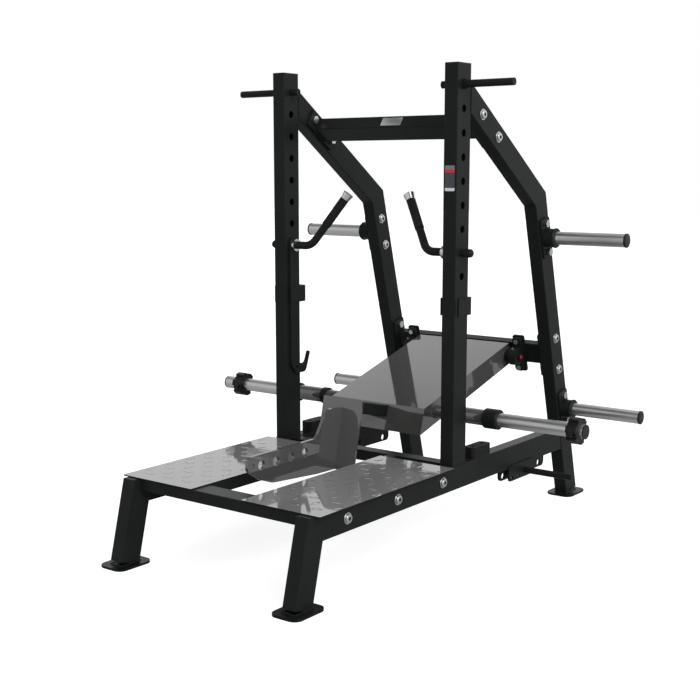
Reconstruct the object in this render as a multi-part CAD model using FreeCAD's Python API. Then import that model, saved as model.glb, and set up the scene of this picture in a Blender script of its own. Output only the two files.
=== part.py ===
import FreeCAD, Part
import math
import os
from FreeCAD import Vector

# Plate-loaded belt squat machine. Millimetres, +X to the user's right, +Y to the rear, +Z up.
# The pieces are modelled from the front face of the two uprights, and saved about the middle of
# the machine's length: the origin is on the floor, on the symmetry plane, half way along.

# ---- fits ----
FIT = 0.05             # radial clearance of a pin, shaft or bolt in its hole
RUN = 0.3              # gap between pieces that move past each other

# ---- side frames: rectangular steel tube, long side fore and aft ----
TUBE_WIDTH = 52.0
TUBE_DEPTH = 85.0
TUBE_WALL = 3.0
TUBE_CORNER = 3.0
FRAME_INSIDE = 349.0   # from the symmetry plane to the inner face of each side frame

# ---- base rails and front legs ----
RAIL_TOP = 289.0
RAIL_HEIGHT = 85.0
LEG_KNEE_Y = -720.3    # lower edge of the mitre between rail and front leg
LEG_LEAN = 14.2        # degrees from upright, foot forward

# ---- uprights ----
UPRIGHT_TOP = 1654.0
UPRIGHT_CAP = 3.0
CAP_PLUG = 14.0
HOLE_DIAMETER = 26.0
HOLE_SPACING = 80.0
HOLE_TOP_MARGIN = 30.0 # least distance from the top hole's middle to the upright's end
HOOK_Z = 1028.0        # the hole that holds the hook shaft
HOLES_ABOVE = math.floor((UPRIGHT_TOP - HOLE_TOP_MARGIN - HOOK_Z) / HOLE_SPACING)
HOLES_BELOW = 1
PEG_Z = HOOK_Z + HOLES_ABOVE * HOLE_SPACING    # the top hole holds the band peg

# ---- rear posts and diagonal braces ----
POST_FOOT_Y = 871.1    # front face of the rear post at the floor
POST_LEAN = 15.1       # degrees from upright, top forward
BRACE_TOP_Z = 1598.6   # upper edge of the brace at the upright
BRACE_DROP = 34.5      # degrees below level

# ---- cross beams ----
BEAM_DEPTH = 80.0
TOP_BEAM_THICK = 50.0
TOP_BEAM_OFFSET = 190.0     # along the brace, from the upright
REAR_BEAM_THICK = 40.0
REAR_BEAM_Z = 596.0
FLOOR_BEAM_HEIGHT = 40.0
FRONT_BEAM_Y = -760.0
MID_BEAM_Y = 25.0
MID_BEAM_DEPTH = 55.0
END_PLATE = 10.0
END_PLATE_LENGTH = 170.0
END_PLATE_WIDTH = 66.0
END_BOLT_SPREAD = 130.0

# ---- bolts ----
BOLT_HEAD = 30.0
BOLT_HEAD_HEIGHT = 9.0
BOLT_ROUND = 4.0           # rounding of the head's outer rim
BOLT_SOCKET = 14.0         # hexagon recess, across corners
BOLT_SOCKET_DEPTH = 5.0
BOLT_SHANK = 14.0
NUT_ACROSS = 26.0
NUT_HEIGHT = 12.0
SMALL_HEAD = 19.0
SMALL_HEAD_HEIGHT = 8.0
SMALL_SHANK = 10.0

# ---- foot platforms and what carries them ----
PLATFORM_THICK = 4.0
PLATFORM_FRONT = -765.0
PLATFORM_REAR = -21.0
PLATFORM_INNER = 108.0
PLATFORM_OUTER = 425.0
PLATFORM_CORNER = 6.0
STRINGER_WIDTH = 40.0
RIB_THICK = 24.0
RIB_HEIGHT = 62.0
RIB_FIRST_Y = -599.0
RIB_SPACING = 270.0
RIB_COUNT = 3
RIB_BOLT_Z = 247.0
RIB_TAP_DEPTH = 34.0

# ---- floor plates ----
FOOT_THICK = 8.0
FOOT_WIDTH = 110.0
FOOT_LENGTH = 150.0
FOOT_CORNER = 30.0
FRONT_FOOT_Y = -885.0      # front end of the front floor plates
FOOT_TAIL = 31.0           # how far the rear floor plates reach behind the posts

# ---- band pegs ----
PEG_DIAMETER = 25.0
PEG_REACH = 590.0
PEG_STUB = 35.0
PEG_FLANGE = 34.0
PEG_FLANGE_WIDTH = 12.0
LOW_PEG_DIAMETER = 24.0
LOW_PEG_REACH = 606.0
LOW_PEG_Y = 505.0
LOW_PEG_Z = 181.0

# ---- hanger brackets under the rear of the rails ----
HANGER_THICK = 8.0
HANGER_FRONT = 362.0
HANGER_REAR = 705.0
HANGER_DEPTH = 46.0
HANGER_HOLE = 26.0
HANGER_HOLE_RISE = 16.9    # from the plate's lower edge to the middle of its holes
HANGER_HOLE_FRONT = 391.0
HANGER_HOLE_REAR = 665.0
GUARD_THICK = 6.0
GUARD_FRONT = 386.0
GUARD_REAR = 575.0
GUARD_LOW = 156.0
GUARD_LAP = 12.0
GUARD_HOLE = 12.0
GUARD_HOLE_FRONT = 410.0
GUARD_HOLE_SPACING = 53.0

# ---- weight storage horns ----
HORN_DIAMETER = 50.0
HORN_WALL = 4.0
HORN_REACH = 736.0
HORN_CAP = 6.0
UPPER_HORN_Z = 1054.0
LOWER_HORN_Z = 372.0
COLLAR_DIAMETER = 70.0
COLLAR_LENGTH = 42.0
HORN_PLATE = 8.0
HORN_PLATE_LENGTH = 150.0
HORN_PLATE_WIDTH = 67.0
HORN_PLATE_CORNER = 10.0
HORN_BOLT_SPREAD = 112.0

# ---- rubber stop blocks ----
STOP_FRONT = 145.0
STOP_LENGTH = 122.0
STOP_WIDTH = 48.0
STOP_HEIGHT = 40.0
STOP_CORNER = 16.0
STOP_SCREW_SPREAD = 62.0
STOP_SCREW_BORE = 16.0
STOP_SCREW_SINK = 12.0

# ---- lever pivot: two pillow blocks on the rear beam ----
PIVOT_X = 250.0
PIVOT_PLATE = 8.0
PIVOT_PLATE_WIDTH = 50.0
PIVOT_PLATE_LENGTH = 150.0
BLOCK_HEIGHT = 36.5        # mounting face to shaft axis
BLOCK_LENGTH = 140.0
BLOCK_WIDTH = 38.0
BLOCK_FOOT = 15.0
BLOCK_BOSS = 68.0
BLOCK_BOLT_SPREAD = 110.0
INSERT_DIAMETER = 52.0
INSERT_WIDTH = 31.0
SHAFT_DIAMETER = 25.0
SHAFT_REACH = 276.0
SPACER_DIAMETER = 44.0

# ---- lever: measured in its own frame, u forward and w up from the pivot axis ----
LEVER_TILT = 16.0          # degrees, front end down, at rest
LEVER_HALF_WIDTH = 211.0
PANEL_THICK = 6.0
PANEL_REAR = 26.0          # behind the pivot
PANEL_FRONT = 595.0
LEVER_TOP = 43.0           # upper face above the pivot
LEVER_BOTTOM = -40.0       # lower edge of the arms
ARM_THICK = 8.0
ARM_REAR_RADIUS = 38.0
ARM_REAR_CORNER = 30.0
NOSE_LEAN = 52.0           # how far the front plate's lower edge stands ahead of its upper edge
NOSE_THICK = 6.0
AXLE_U = 531.0
AXLE_W = 4.5

# ---- loading axle ----
AXLE_DIAMETER = 50.0
AXLE_WALL = 4.0
AXLE_RING_X = 285.0
AXLE_RING_WIDTH = 22.0
AXLE_RING_DIAMETER = 64.0
CARRIER_DIAMETER = 57.0
CARRIER_END = 427.0
SLEEVE_DIAMETER = 50.0
SLEEVE_WALL = 4.0
SLEEVE_COLLAR_END = 482.0
SLEEVE_COLLAR_DIAMETER = 72.0
SLEEVE_REACH = 815.0
SLEEVE_CAP = 5.0

# ---- drop plate and belt tongue ----
NECK_RISE = 29.0           # degrees between the lever and its neck
NECK_WIDTH = 104.0
NECK_HEIGHT = 44.0
NECK_BELOW = 5.0
NECK_WALL = 4.0
NECK_CORNER = 5.0
DROP_REACH = 213.0         # lever front edge to the front face of the drop plate
DROP_THICK = 8.0
DROP_HALF_WIDTH = 87.0
DROP_LENGTH = 256.0
TONGUE_TURN = 13.0         # degrees from the drop plate's square to the tongue
TONGUE_THICK = 12.0
TONGUE_REACH = 461.0
TONGUE_TOP = 128.0
RISER_TOP = 226.0
RISER_AHEAD = 37.0         # outline of the tongue, ahead of the drop plate
RISER_ROUND = 58.0
BEND_AHEAD = 102.0
BEND_RISE = 1.0
BEND_ROUND = 34.0
NOSE_BACK = 8.0
NOSE_ROUND = 20.0
CHIN_Z = 82.0
CHIN_ROUND = 22.0
BELLY_AHEAD = 396.0
BELLY_Z = 41.0
BELLY_ROUND = 70.0
KEEL_AHEAD = 338.0
KEEL_Z = 20.0
KEEL_ROUND = 90.0
HEEL_AHEAD = 96.0
HEEL_Z = 2.0
HEEL_ROUND = 60.0
BELT_HOLE = 32.0
BELT_HOLE_COUNT = 4
BELT_HOLE_SPACING = 75.5
BELT_HOLE_FIRST = 165.0
BELT_HOLE_Z = 91.0
PIN_HOLE = 14.0
PIN_HOLE_Y = 432.0
PIN_HOLE_Z = 96.0

# ---- clamp collars on the loading sleeves ----
CLAMP_LEFT_INSET = 82.0    # from the sleeve's end to the middle of the collar
CLAMP_RIGHT_INSET = 37.0
CLAMP_WIDTH = 38.0
CLAMP_BODY = 80.0
CLAMP_LOBE = 94.0
CLAMP_LOBE_WIDTH = 24.0
CLAMP_LOBES = 6
LATCH_THICK = 9.0
LATCH_WIDTH = 20.0
LATCH_PIN = 4.0
LATCH_TAIL = 12.0          # finger lip beyond the lobe
LATCH_TAIL_DROP = 2.0
LATCH_TAIL_RISE = 1.0
LATCH_ROUND = 3.0
LATCH_TURN = 60.0          # degrees round the sleeve

# ---- hook levers on the uprights ----
HOOK_THICK = 10.0
HOOK_FRONT = -24.0         # front edge of the bar, from the pivot
HOOK_REAR = 23.0           # rear edge of the bar, from the pivot
HOOK_HEAD = 27.0
HOOK_THROAT = -455.0
HOOK_HEEL = -489.0
HOOK_TIP_Y = 90.0
HOOK_TIP_Z = -414.0
HOOK_HOLE = 12.0
HOOK_HOLE_Y = 11.5
HOOK_HOLE_DROP = 10.0      # below the throat
HOOK_HEAD_ROUND = 22.0
HOOK_THROAT_ROUND = 18.0
HOOK_THROAT_END = 61.0
HOOK_TIP_WIDTH = 11.0
HOOK_TIP_SLOPE = 5.0
HOOK_TIP_INNER_ROUND = 4.0
HOOK_TIP_OUTER_ROUND = 5.0
HOOK_TOE_Y = 63.0
HOOK_TOE_ROUND = 20.0
HOOK_HEEL_Y = 4.0
HOOK_HEEL_ROUND = 12.0
HOOK_SHIN_INSET = 2.0
HOOK_SHIN_RISE = 37.0
HOOK_SHIN_ROUND = 22.0
ROD_DIAMETER = 29.0
ROD_STUB = 443.0
ROD_BEND_X = 257.0
ROD_BEND_RADIUS = 50.0
ROD_END_X = 141.0
ROD_END_BACK = 65.0       # Y of the rod's end behind the pivot
ROD_END_RISE = 182.0       # Z of the rod's end above the pivot
GRIP_DIAMETER = 33.0
GRIP_LENGTH = 120.0
END_CAP_DIAMETER = 42.0
END_CAP_LENGTH = 24.0
WASHER_DIAMETER = 46.0
WASHER_WIDTH = 13.0

# ---- hook keepers ----
KEEPER_THICK = 5.0
KEEPER_LOW = 813.0
KEEPER_HIGH = 874.0
KEEPER_WEB_Y = 101.0
KEEPER_BEND = 10.0
KEEPER_OUTER_FRONT = 19.0
KEEPER_INNER_FRONT = 15.0

# ---- plain decal on the right upright ----
DECAL_WIDTH = 38.0
DECAL_LOW = 1236.0
DECAL_HIGH = 1321.0
DECAL_THICK = 0.8
DECAL_CORNER = 4.0

FRAME_OUTSIDE = FRAME_INSIDE + TUBE_WIDTH
FRAME_MIDDLE = FRAME_INSIDE + TUBE_WIDTH / 2
HOLE_Y = TUBE_DEPTH / 2
REACH = 3000.0             # larger than the whole machine, for half-space cutters


# ------------------------------------------------------------------ shape helpers

def save(name, *solids):
    """One STEP file per sub-part; several identical pieces share one file as separate solids."""
    shape = solids[0].copy() if len(solids) == 1 else Part.makeCompound(list(solids))
    shape.translate(Vector(0, -LENGTH_MIDDLE, 0))
    shape.exportStep("parts/" + name + ".step")


def box(x, y, z, corner=0.0, axis=None):
    """Box from three (low, high) spans, with its edges along one axis rounded."""
    shape = Part.makeBox(x[1] - x[0], y[1] - y[0], z[1] - z[0], Vector(x[0], y[0], z[0]))
    if corner > 0:
        edges = [e for e in shape.Edges if abs(abs(e.tangentAt(e.FirstParameter).dot(axis)) - 1) < 1e-6]
        shape = shape.makeFillet(corner, edges)
    return shape


def hollow(x, y, z, wall, corner, axis):
    """Rectangular tube along one axis, open at both ends."""
    spans = []
    for span, along in ((x, axis.x), (y, axis.y), (z, axis.z)):
        inset = -wall if along else wall
        spans.append((span[0] + inset, span[1] - inset))
    inner = box(*spans, max(corner - wall, 0.5), axis)
    return box(x, y, z, corner, axis).cut(inner)


X_AXIS = Vector(1, 0, 0)
Y_AXIS = Vector(0, 1, 0)
Z_AXIS = Vector(0, 0, 1)


def rod(x, y, z, diameter):
    """Cylinder along X between two X values."""
    return Part.makeCylinder(diameter / 2, x[1] - x[0], Vector(x[0], y, z), X_AXIS)


def ring(x, y, z, outer, inner):
    """Tube along X between two X values."""
    return rod(x, y, z, outer).cut(rod(x, y, z, inner))


def turned(shape, angle, at=(0.0, 0.0)):
    """Turn about X by an angle in degrees, then carry the origin to a (y, z) point."""
    result = shape.copy()
    result.rotate(Vector(0, 0, 0), X_AXIS, angle)
    result.translate(Vector(0, at[0], at[1]))
    return result


def turned_point(point, angle, at=(0.0, 0.0)):
    """The same turn and shift for one (y, z) point."""
    cosine = math.cos(math.radians(angle))
    sine = math.sin(math.radians(angle))
    return (at[0] + point[0] * cosine - point[1] * sine, at[1] + point[0] * sine + point[1] * cosine)


def meet(first, first_angle, second, second_angle):
    """Where two lines in the YZ plane cross; angles from +Y towards +Z."""
    ay, az = math.cos(math.radians(first_angle)), math.sin(math.radians(first_angle))
    by, bz = math.cos(math.radians(second_angle)), math.sin(math.radians(second_angle))
    dy, dz = second[0] - first[0], second[1] - first[1]
    step = (dy * bz - dz * by) / (ay * bz - az * by)
    return (first[0] + ay * step, first[1] + az * step)


def left_of(start, end):
    """Half-space to the left of the line from start to end, seen with +Y right and +Z up."""
    angle = math.degrees(math.atan2(end[1] - start[1], end[0] - start[0]))
    return turned(box((-REACH, REACH), (-REACH, REACH), (0, REACH)), angle, start)


def outline(corners):
    """Closed wire in the YZ plane through corners (y, z, radius), each rounded by a tangent arc."""
    edges = []
    ends = []
    for index, (y, z, radius) in enumerate(corners):
        here = Vector(0, y, z)
        before = Vector(0, corners[index - 1][0], corners[index - 1][1])
        following = corners[(index + 1) % len(corners)]
        after = Vector(0, following[0], following[1])
        back = (before - here).normalize()
        ahead = (after - here).normalize()
        half = back.getAngle(ahead) / 2
        run = radius / math.tan(half)
        middle = here + (back + ahead).normalize() * (radius / math.sin(half) - radius)
        ends.append((here + back * run, middle, here + ahead * run, radius))
    for index, (first, middle, last, radius) in enumerate(ends):
        if radius > 0:
            edges.append(Part.Arc(first, middle, last).toShape())
        edges.append(Part.LineSegment(last, ends[(index + 1) % len(ends)][0]).toShape())
    return Part.Wire(edges)


def plate(x, corners, holes=()):
    """Flat plate square to X, with its outline in the YZ plane and round holes (y, z, diameter)."""
    face = Part.Face(outline(corners))
    face.translate(Vector(x[0], 0, 0))
    shape = face.extrude(Vector(x[1] - x[0], 0, 0))
    for y, z, diameter in holes:
        shape = shape.cut(rod((x[0] - 1, x[1] + 1), y, z, diameter))
    return shape


def mirrored(shape):
    """The same piece on the left side."""
    return shape.mirror(Vector(0, 0, 0), X_AXIS)


def on_side(side, shape):
    """A piece modelled on the right, put on the named side."""
    return shape if side == "right" else mirrored(shape)


def both(shapes):
    """Right-hand pieces with their left-hand mirror images."""
    return list(shapes) + [mirrored(shape) for shape in shapes]


SIDES = ("left", "right")
SIDE_X = (FRAME_INSIDE, FRAME_OUTSIDE)


def side_tube(start, angle, length, depth=TUBE_DEPTH):
    """Side-frame tube whose lower edge starts at a (y, z) point and runs at an angle from +Y."""
    tube = hollow(SIDE_X, (0, length), (0, depth), TUBE_WALL, TUBE_CORNER, Y_AXIS)
    return turned(tube, angle, start)


# ------------------------------------------------------------------ side-frame geometry

RAIL_LOW = RAIL_TOP - RAIL_HEIGHT
POST_ANGLE = 90 + POST_LEAN
POST_FACE = (POST_FOOT_Y, 0.0)
POST_BACK = turned_point((0.0, -TUBE_DEPTH), POST_ANGLE, POST_FACE)
BRACE_UPPER = (TUBE_DEPTH, BRACE_TOP_Z)
BRACE_LOWER = turned_point((0.0, -TUBE_DEPTH), -BRACE_DROP, BRACE_UPPER)
KNEE_OUT = meet(POST_BACK, POST_ANGLE, BRACE_UPPER, -BRACE_DROP)
KNEE_IN = meet(POST_FACE, POST_ANGLE, BRACE_LOWER, -BRACE_DROP)
LEG_ANGLE = 90 - LEG_LEAN
LEG_IN = (LEG_KNEE_Y, RAIL_LOW)
LEG_FACE = turned_point((0.0, TUBE_DEPTH), LEG_ANGLE, LEG_IN)
LEG_OUT = meet(LEG_FACE, LEG_ANGLE, (0.0, RAIL_TOP), 0.0)
FLOOR_PLATE_TOP = ((1.0, FOOT_THICK), (0.0, FOOT_THICK))
REAR_FOOT_Y = meet(POST_BACK, POST_ANGLE, FLOOR_PLATE_TOP[1], 0.0)[0] + FOOT_TAIL
LENGTH_MIDDLE = (FRONT_FOOT_Y + REAR_FOOT_Y) / 2


def post_center(z):
    """Point on the rear post's centre line at a height."""
    middle = turned_point((0.0, -TUBE_DEPTH / 2), POST_ANGLE, POST_FACE)
    return meet(middle, POST_ANGLE, (0.0, z), 0.0)


def on_post(shape, z):
    """A piece modelled upright about the origin, turned with the post and put on its centre line."""
    return turned(shape, POST_LEAN, post_center(z))


TOP_BEAM_AT = turned_point((TOP_BEAM_OFFSET, -TUBE_DEPTH / 2), -BRACE_DROP, BRACE_UPPER)


def on_brace(shape):
    """A piece modelled upright about the origin, turned with the brace at the top beam."""
    return turned(shape, 90 - BRACE_DROP, TOP_BEAM_AT)


# ------------------------------------------------------------------ bolts

def hexagon(x, y, z, radius, length):
    """Six-sided bar along X from the plane at x, with its corners on a radius."""
    turns = [math.radians(60 * step) for step in range(7)]
    corners = [Vector(x, y + radius * math.cos(turn), z + radius * math.sin(turn)) for turn in turns]
    return Part.Face(Part.makePolygon(corners)).extrude(Vector(length, 0, 0))


def bolt(x, y, z, length):
    """Button-head bolt pointing to -X: its head sits on the plane at x."""
    top = x + BOLT_HEAD_HEIGHT
    cap = rod((x, top), y, z, BOLT_HEAD)
    rim = [e for e in cap.Edges if abs(e.BoundBox.XMin - top) < 1e-6]
    cap = cap.makeFillet(BOLT_ROUND, rim)
    recess = hexagon(top - BOLT_SOCKET_DEPTH, y, z, BOLT_SOCKET / 2, BOLT_HEAD_HEIGHT)
    return cap.cut(recess).fuse(rod((x - length, x), y, z, BOLT_SHANK)).removeSplitter()


def nut(x, y, z):
    """Hexagon nut whose outer face lies on the plane at x, extending to -X."""
    body = hexagon(x - NUT_HEIGHT, y, z, NUT_ACROSS / math.sqrt(3), NUT_HEIGHT)
    return body.cut(rod((x - NUT_HEIGHT - 1, x + 1), y, z, BOLT_SHANK + 2 * FIT))


END_BOLT_LENGTH = TUBE_WIDTH + END_PLATE + NUT_HEIGHT


def end_bolt_points():
    """The four (y, z) bolt places of one side's two beam end plates."""
    half = END_BOLT_SPREAD / 2
    points = [turned_point((0, sign * half), 90 - BRACE_DROP, TOP_BEAM_AT) for sign in (1, -1)]
    points += [turned_point((0, sign * half), POST_LEAN, post_center(REAR_BEAM_Z)) for sign in (1, -1)]
    return points


def horn_bolt_points():
    """The (y, z) bolt places of one side's two storage horns, on the rear post."""
    half = HORN_BOLT_SPREAD / 2
    return [turned_point((0, sign * half), POST_LEAN, post_center(z))
            for z in (UPPER_HORN_Z, LOWER_HORN_Z) for sign in (1, -1)]


def rib_places():
    """Y of each platform rib and its bolt."""
    return [RIB_FIRST_Y + step * RIB_SPACING for step in range(RIB_COUNT)]


def bolt_holes(shape, points, x=SIDE_X):
    """Clearance holes along X for frame bolts."""
    for y, z in points:
        shape = shape.cut(rod((x[0] - 1, x[1] + 1), y, z, BOLT_SHANK + 2 * FIT))
    return shape


def make_frame_bolts():
    """Bolts and nuts of the cross beams and storage horns, and the bolts into the platform ribs."""
    pieces = []
    for y, z in end_bolt_points():
        pieces.append(bolt(FRAME_OUTSIDE, y, z, END_BOLT_LENGTH))
        pieces.append(nut(FRAME_INSIDE - END_PLATE, y, z))
    for y in rib_places():
        pieces.append(bolt(FRAME_OUTSIDE, y, RIB_BOLT_Z, TUBE_WIDTH + RIB_TAP_DEPTH))
    outer = HORN_PLATE + NUT_HEIGHT
    for y, z in horn_bolt_points():
        pieces.append(mirrored(bolt(-FRAME_INSIDE, y, z, TUBE_WIDTH + outer)))
        pieces.append(nut(FRAME_OUTSIDE + outer, y, z))
    save("frame_bolts", *both(pieces))


# ------------------------------------------------------------------ side frames

def make_rail():
    """Base rail: mitred to the front leg, butted against the rear post."""
    length = POST_FOOT_Y - LEG_OUT[0]
    rail = side_tube((LEG_OUT[0], RAIL_LOW), 0.0, length, RAIL_HEIGHT)
    rail = rail.cut(left_of(LEG_IN, LEG_OUT))
    rail = rail.cut(left_of(KNEE_IN, POST_FACE))
    return bolt_holes(rail, [(y, RIB_BOLT_Z) for y in rib_places()])


def make_leg():
    """Front leg, from the floor plate to the mitre with the rail."""
    foot = meet(LEG_IN, LEG_ANGLE, (0.0, 0.0), 0.0)
    leg = side_tube(foot, LEG_ANGLE, RAIL_TOP * 2)
    leg = leg.cut(left_of(*FLOOR_PLATE_TOP))
    return leg.cut(left_of(LEG_OUT, LEG_IN))


def make_post():
    """Rear post, from the floor plate to the mitred knee."""
    length = KNEE_OUT[1] * 1.2
    post = side_tube(POST_BACK, POST_ANGLE, length)
    post = post.cut(left_of(*FLOOR_PLATE_TOP))
    post = post.cut(left_of(KNEE_IN, KNEE_OUT))
    return bolt_holes(post, end_bolt_points()[2:] + horn_bolt_points())


def make_brace():
    """Diagonal brace, from the upright's rear face to the knee."""
    length = (KNEE_OUT[0] - BRACE_UPPER[0]) / math.cos(math.radians(BRACE_DROP)) * 1.2
    brace = hollow(SIDE_X, (-TUBE_DEPTH, length), (-TUBE_DEPTH, 0), TUBE_WALL, TUBE_CORNER, Y_AXIS)
    brace = turned(brace, -BRACE_DROP, BRACE_UPPER)
    brace = brace.cut(left_of((TUBE_DEPTH, 0.0), (TUBE_DEPTH, REACH)))
    brace = brace.cut(left_of(KNEE_OUT, KNEE_IN))
    return bolt_holes(brace, end_bolt_points()[:2])


def make_upright():
    """Front upright with its row of holes; the peg and the hook shaft have holes of their own size."""
    upright = hollow(SIDE_X, (0, TUBE_DEPTH), (RAIL_TOP, UPRIGHT_TOP), TUBE_WALL, TUBE_CORNER, Z_AXIS)
    for step in range(-HOLES_BELOW, HOLES_ABOVE + 1):
        diameter = HOLE_DIAMETER
        if step == HOLES_ABOVE:
            diameter = PEG_DIAMETER + 2 * FIT
        if step == 0:
            diameter = ROD_DIAMETER + 2 * FIT
        z = HOOK_Z + step * HOLE_SPACING
        upright = upright.cut(rod((FRAME_INSIDE - 1, FRAME_OUTSIDE + 1), HOLE_Y, z, diameter))
    return upright


def make_cap():
    """Plastic end plug of an upright."""
    head = box(SIDE_X, (0, TUBE_DEPTH), (UPRIGHT_TOP, UPRIGHT_TOP + UPRIGHT_CAP), TUBE_CORNER, Z_AXIS)
    inset = TUBE_WALL + FIT
    plug = box((FRAME_INSIDE + inset, FRAME_OUTSIDE - inset), (inset, TUBE_DEPTH - inset),
               (UPRIGHT_TOP - CAP_PLUG, UPRIGHT_TOP), TUBE_WALL, Z_AXIS)
    return head.fuse(plug)


def make_foot(front):
    """Rounded floor plate from its front end."""
    x = (FRAME_MIDDLE - FOOT_WIDTH / 2, FRAME_MIDDLE + FOOT_WIDTH / 2)
    return box(x, (front, front + FOOT_LENGTH), (0, FOOT_THICK), FOOT_CORNER, Z_AXIS)


def make_side_frames():
    """Both side frames, tube by tube."""
    for side in SIDES:
        save(side + "_base_rail", on_side(side, make_rail()))
        save(side + "_front_leg", on_side(side, make_leg()))
        save(side + "_rear_post", on_side(side, make_post()))
        save(side + "_diagonal_brace", on_side(side, make_brace()))
        save(side + "_upright", on_side(side, make_upright()))
    save("upright_caps", *both([make_cap()]))
    save("floor_feet", *both([make_foot(FRONT_FOOT_Y), make_foot(REAR_FOOT_Y - FOOT_LENGTH)]))


# ------------------------------------------------------------------ cross beams

def end_plate():
    """Beam end plate about the origin, long side upright, with its two bolt holes."""
    half = END_PLATE_LENGTH / 2
    flat = box((FRAME_INSIDE - END_PLATE, FRAME_INSIDE), (-END_PLATE_WIDTH / 2, END_PLATE_WIDTH / 2),
               (-half, half), TUBE_CORNER, X_AXIS)
    holes = [(0, END_BOLT_SPREAD / 2), (0, -END_BOLT_SPREAD / 2)]
    return bolt_holes(flat, holes, (FRAME_INSIDE - END_PLATE, FRAME_INSIDE))


def beam(thick):
    """Cross beam about the origin between the two end plates."""
    half = FRAME_INSIDE - END_PLATE
    return hollow((-half, half), (-thick / 2, thick / 2), (-BEAM_DEPTH / 2, BEAM_DEPTH / 2),
                  TUBE_WALL, TUBE_CORNER, X_AXIS)


def floor_beam(front, depth):
    """Level cross beam between the rails, flush with their tops."""
    return hollow((-FRAME_INSIDE, FRAME_INSIDE), (front, front + depth),
                  (RAIL_TOP - FLOOR_BEAM_HEIGHT, RAIL_TOP), TUBE_WALL, TUBE_CORNER, X_AXIS)


def make_beams():
    """Four cross beams and the end plates of the upper two."""
    save("top_cross_beam", on_brace(beam(TOP_BEAM_THICK)))
    save("rear_cross_beam", on_post(beam(REAR_BEAM_THICK), REAR_BEAM_Z))
    save("beam_end_plates", *both([on_brace(end_plate()), on_post(end_plate(), REAR_BEAM_Z)]))
    save("front_cross_beam", floor_beam(FRONT_BEAM_Y, BEAM_DEPTH))
    save("mid_cross_beam", floor_beam(MID_BEAM_Y, MID_BEAM_DEPTH))


# ------------------------------------------------------------------ platforms

def make_platforms():
    """Two tread plates on the rails, each with an inner stringer and three ribs under it."""
    top = (RAIL_TOP, RAIL_TOP + PLATFORM_THICK)
    tread = box((PLATFORM_INNER, PLATFORM_OUTER), (PLATFORM_FRONT, PLATFORM_REAR), top,
                PLATFORM_CORNER, Z_AXIS)
    for side in SIDES:
        save(side + "_foot_platform", on_side(side, tread))
    inner = (PLATFORM_INNER, PLATFORM_INNER + STRINGER_WIDTH)
    span = (FRONT_BEAM_Y + BEAM_DEPTH, MID_BEAM_Y)
    pieces = [hollow(inner, span, (RAIL_TOP - FLOOR_BEAM_HEIGHT, RAIL_TOP),
                     TUBE_WALL, TUBE_CORNER, Y_AXIS)]
    for y in rib_places():
        rib = box((inner[1], FRAME_INSIDE), (y - RIB_THICK / 2, y + RIB_THICK / 2),
                  (RAIL_TOP - RIB_HEIGHT, RAIL_TOP))
        tap = rod((FRAME_INSIDE - RIB_TAP_DEPTH, FRAME_INSIDE + 1), y, RIB_BOLT_Z, BOLT_SHANK + 2 * FIT)
        pieces.append(rib.cut(tap))
    save("platform_frame", *both(pieces))


# ------------------------------------------------------------------ pegs and hangers

def make_pegs():
    """Band pegs: one through each upright's top hole, one through each pair of hangers."""
    peg = rod((FRAME_INSIDE - PEG_STUB, PEG_REACH), HOLE_Y, PEG_Z, PEG_DIAMETER)
    flange = rod((FRAME_OUTSIDE, FRAME_OUTSIDE + PEG_FLANGE_WIDTH), HOLE_Y, PEG_Z, PEG_FLANGE)
    save("band_pegs", *both([peg.fuse(flange)]))
    low = (FRAME_MIDDLE - HANGER_THICK, LOW_PEG_REACH)
    save("lower_band_pegs", *both([rod(low, LOW_PEG_Y, LOW_PEG_Z, LOW_PEG_DIAMETER)]))


def make_hangers():
    """A long hanger plate under each rail and a short one on the rail's outer face."""
    low = RAIL_LOW - HANGER_DEPTH
    middle = low + HANGER_HOLE_RISE
    peg = (LOW_PEG_Y, LOW_PEG_Z, LOW_PEG_DIAMETER + 2 * FIT)
    hanger = plate((FRAME_MIDDLE - HANGER_THICK / 2, FRAME_MIDDLE + HANGER_THICK / 2),
                   [(HANGER_FRONT, RAIL_LOW, 0), (HANGER_REAR, RAIL_LOW, 0), (HANGER_REAR, low, 18),
                    (HANGER_FRONT, low, 18)],
                   [(HANGER_HOLE_FRONT, middle, HANGER_HOLE), (HANGER_HOLE_REAR, middle, HANGER_HOLE), peg])
    row = [(GUARD_HOLE_FRONT + step * GUARD_HOLE_SPACING, GUARD_LOW + GUARD_HOLE, GUARD_HOLE)
           for step in range(2)]
    high = RAIL_LOW + GUARD_LAP
    guard = plate((FRAME_OUTSIDE, FRAME_OUTSIDE + GUARD_THICK),
                  [(GUARD_FRONT, high, 6), (GUARD_REAR, high, 6), (GUARD_REAR, GUARD_LOW, 14),
                   (GUARD_FRONT, GUARD_LOW, 14)], row + [peg])
    save("hanger_brackets", *both([hanger, guard]))


# ------------------------------------------------------------------ storage horns

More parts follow.
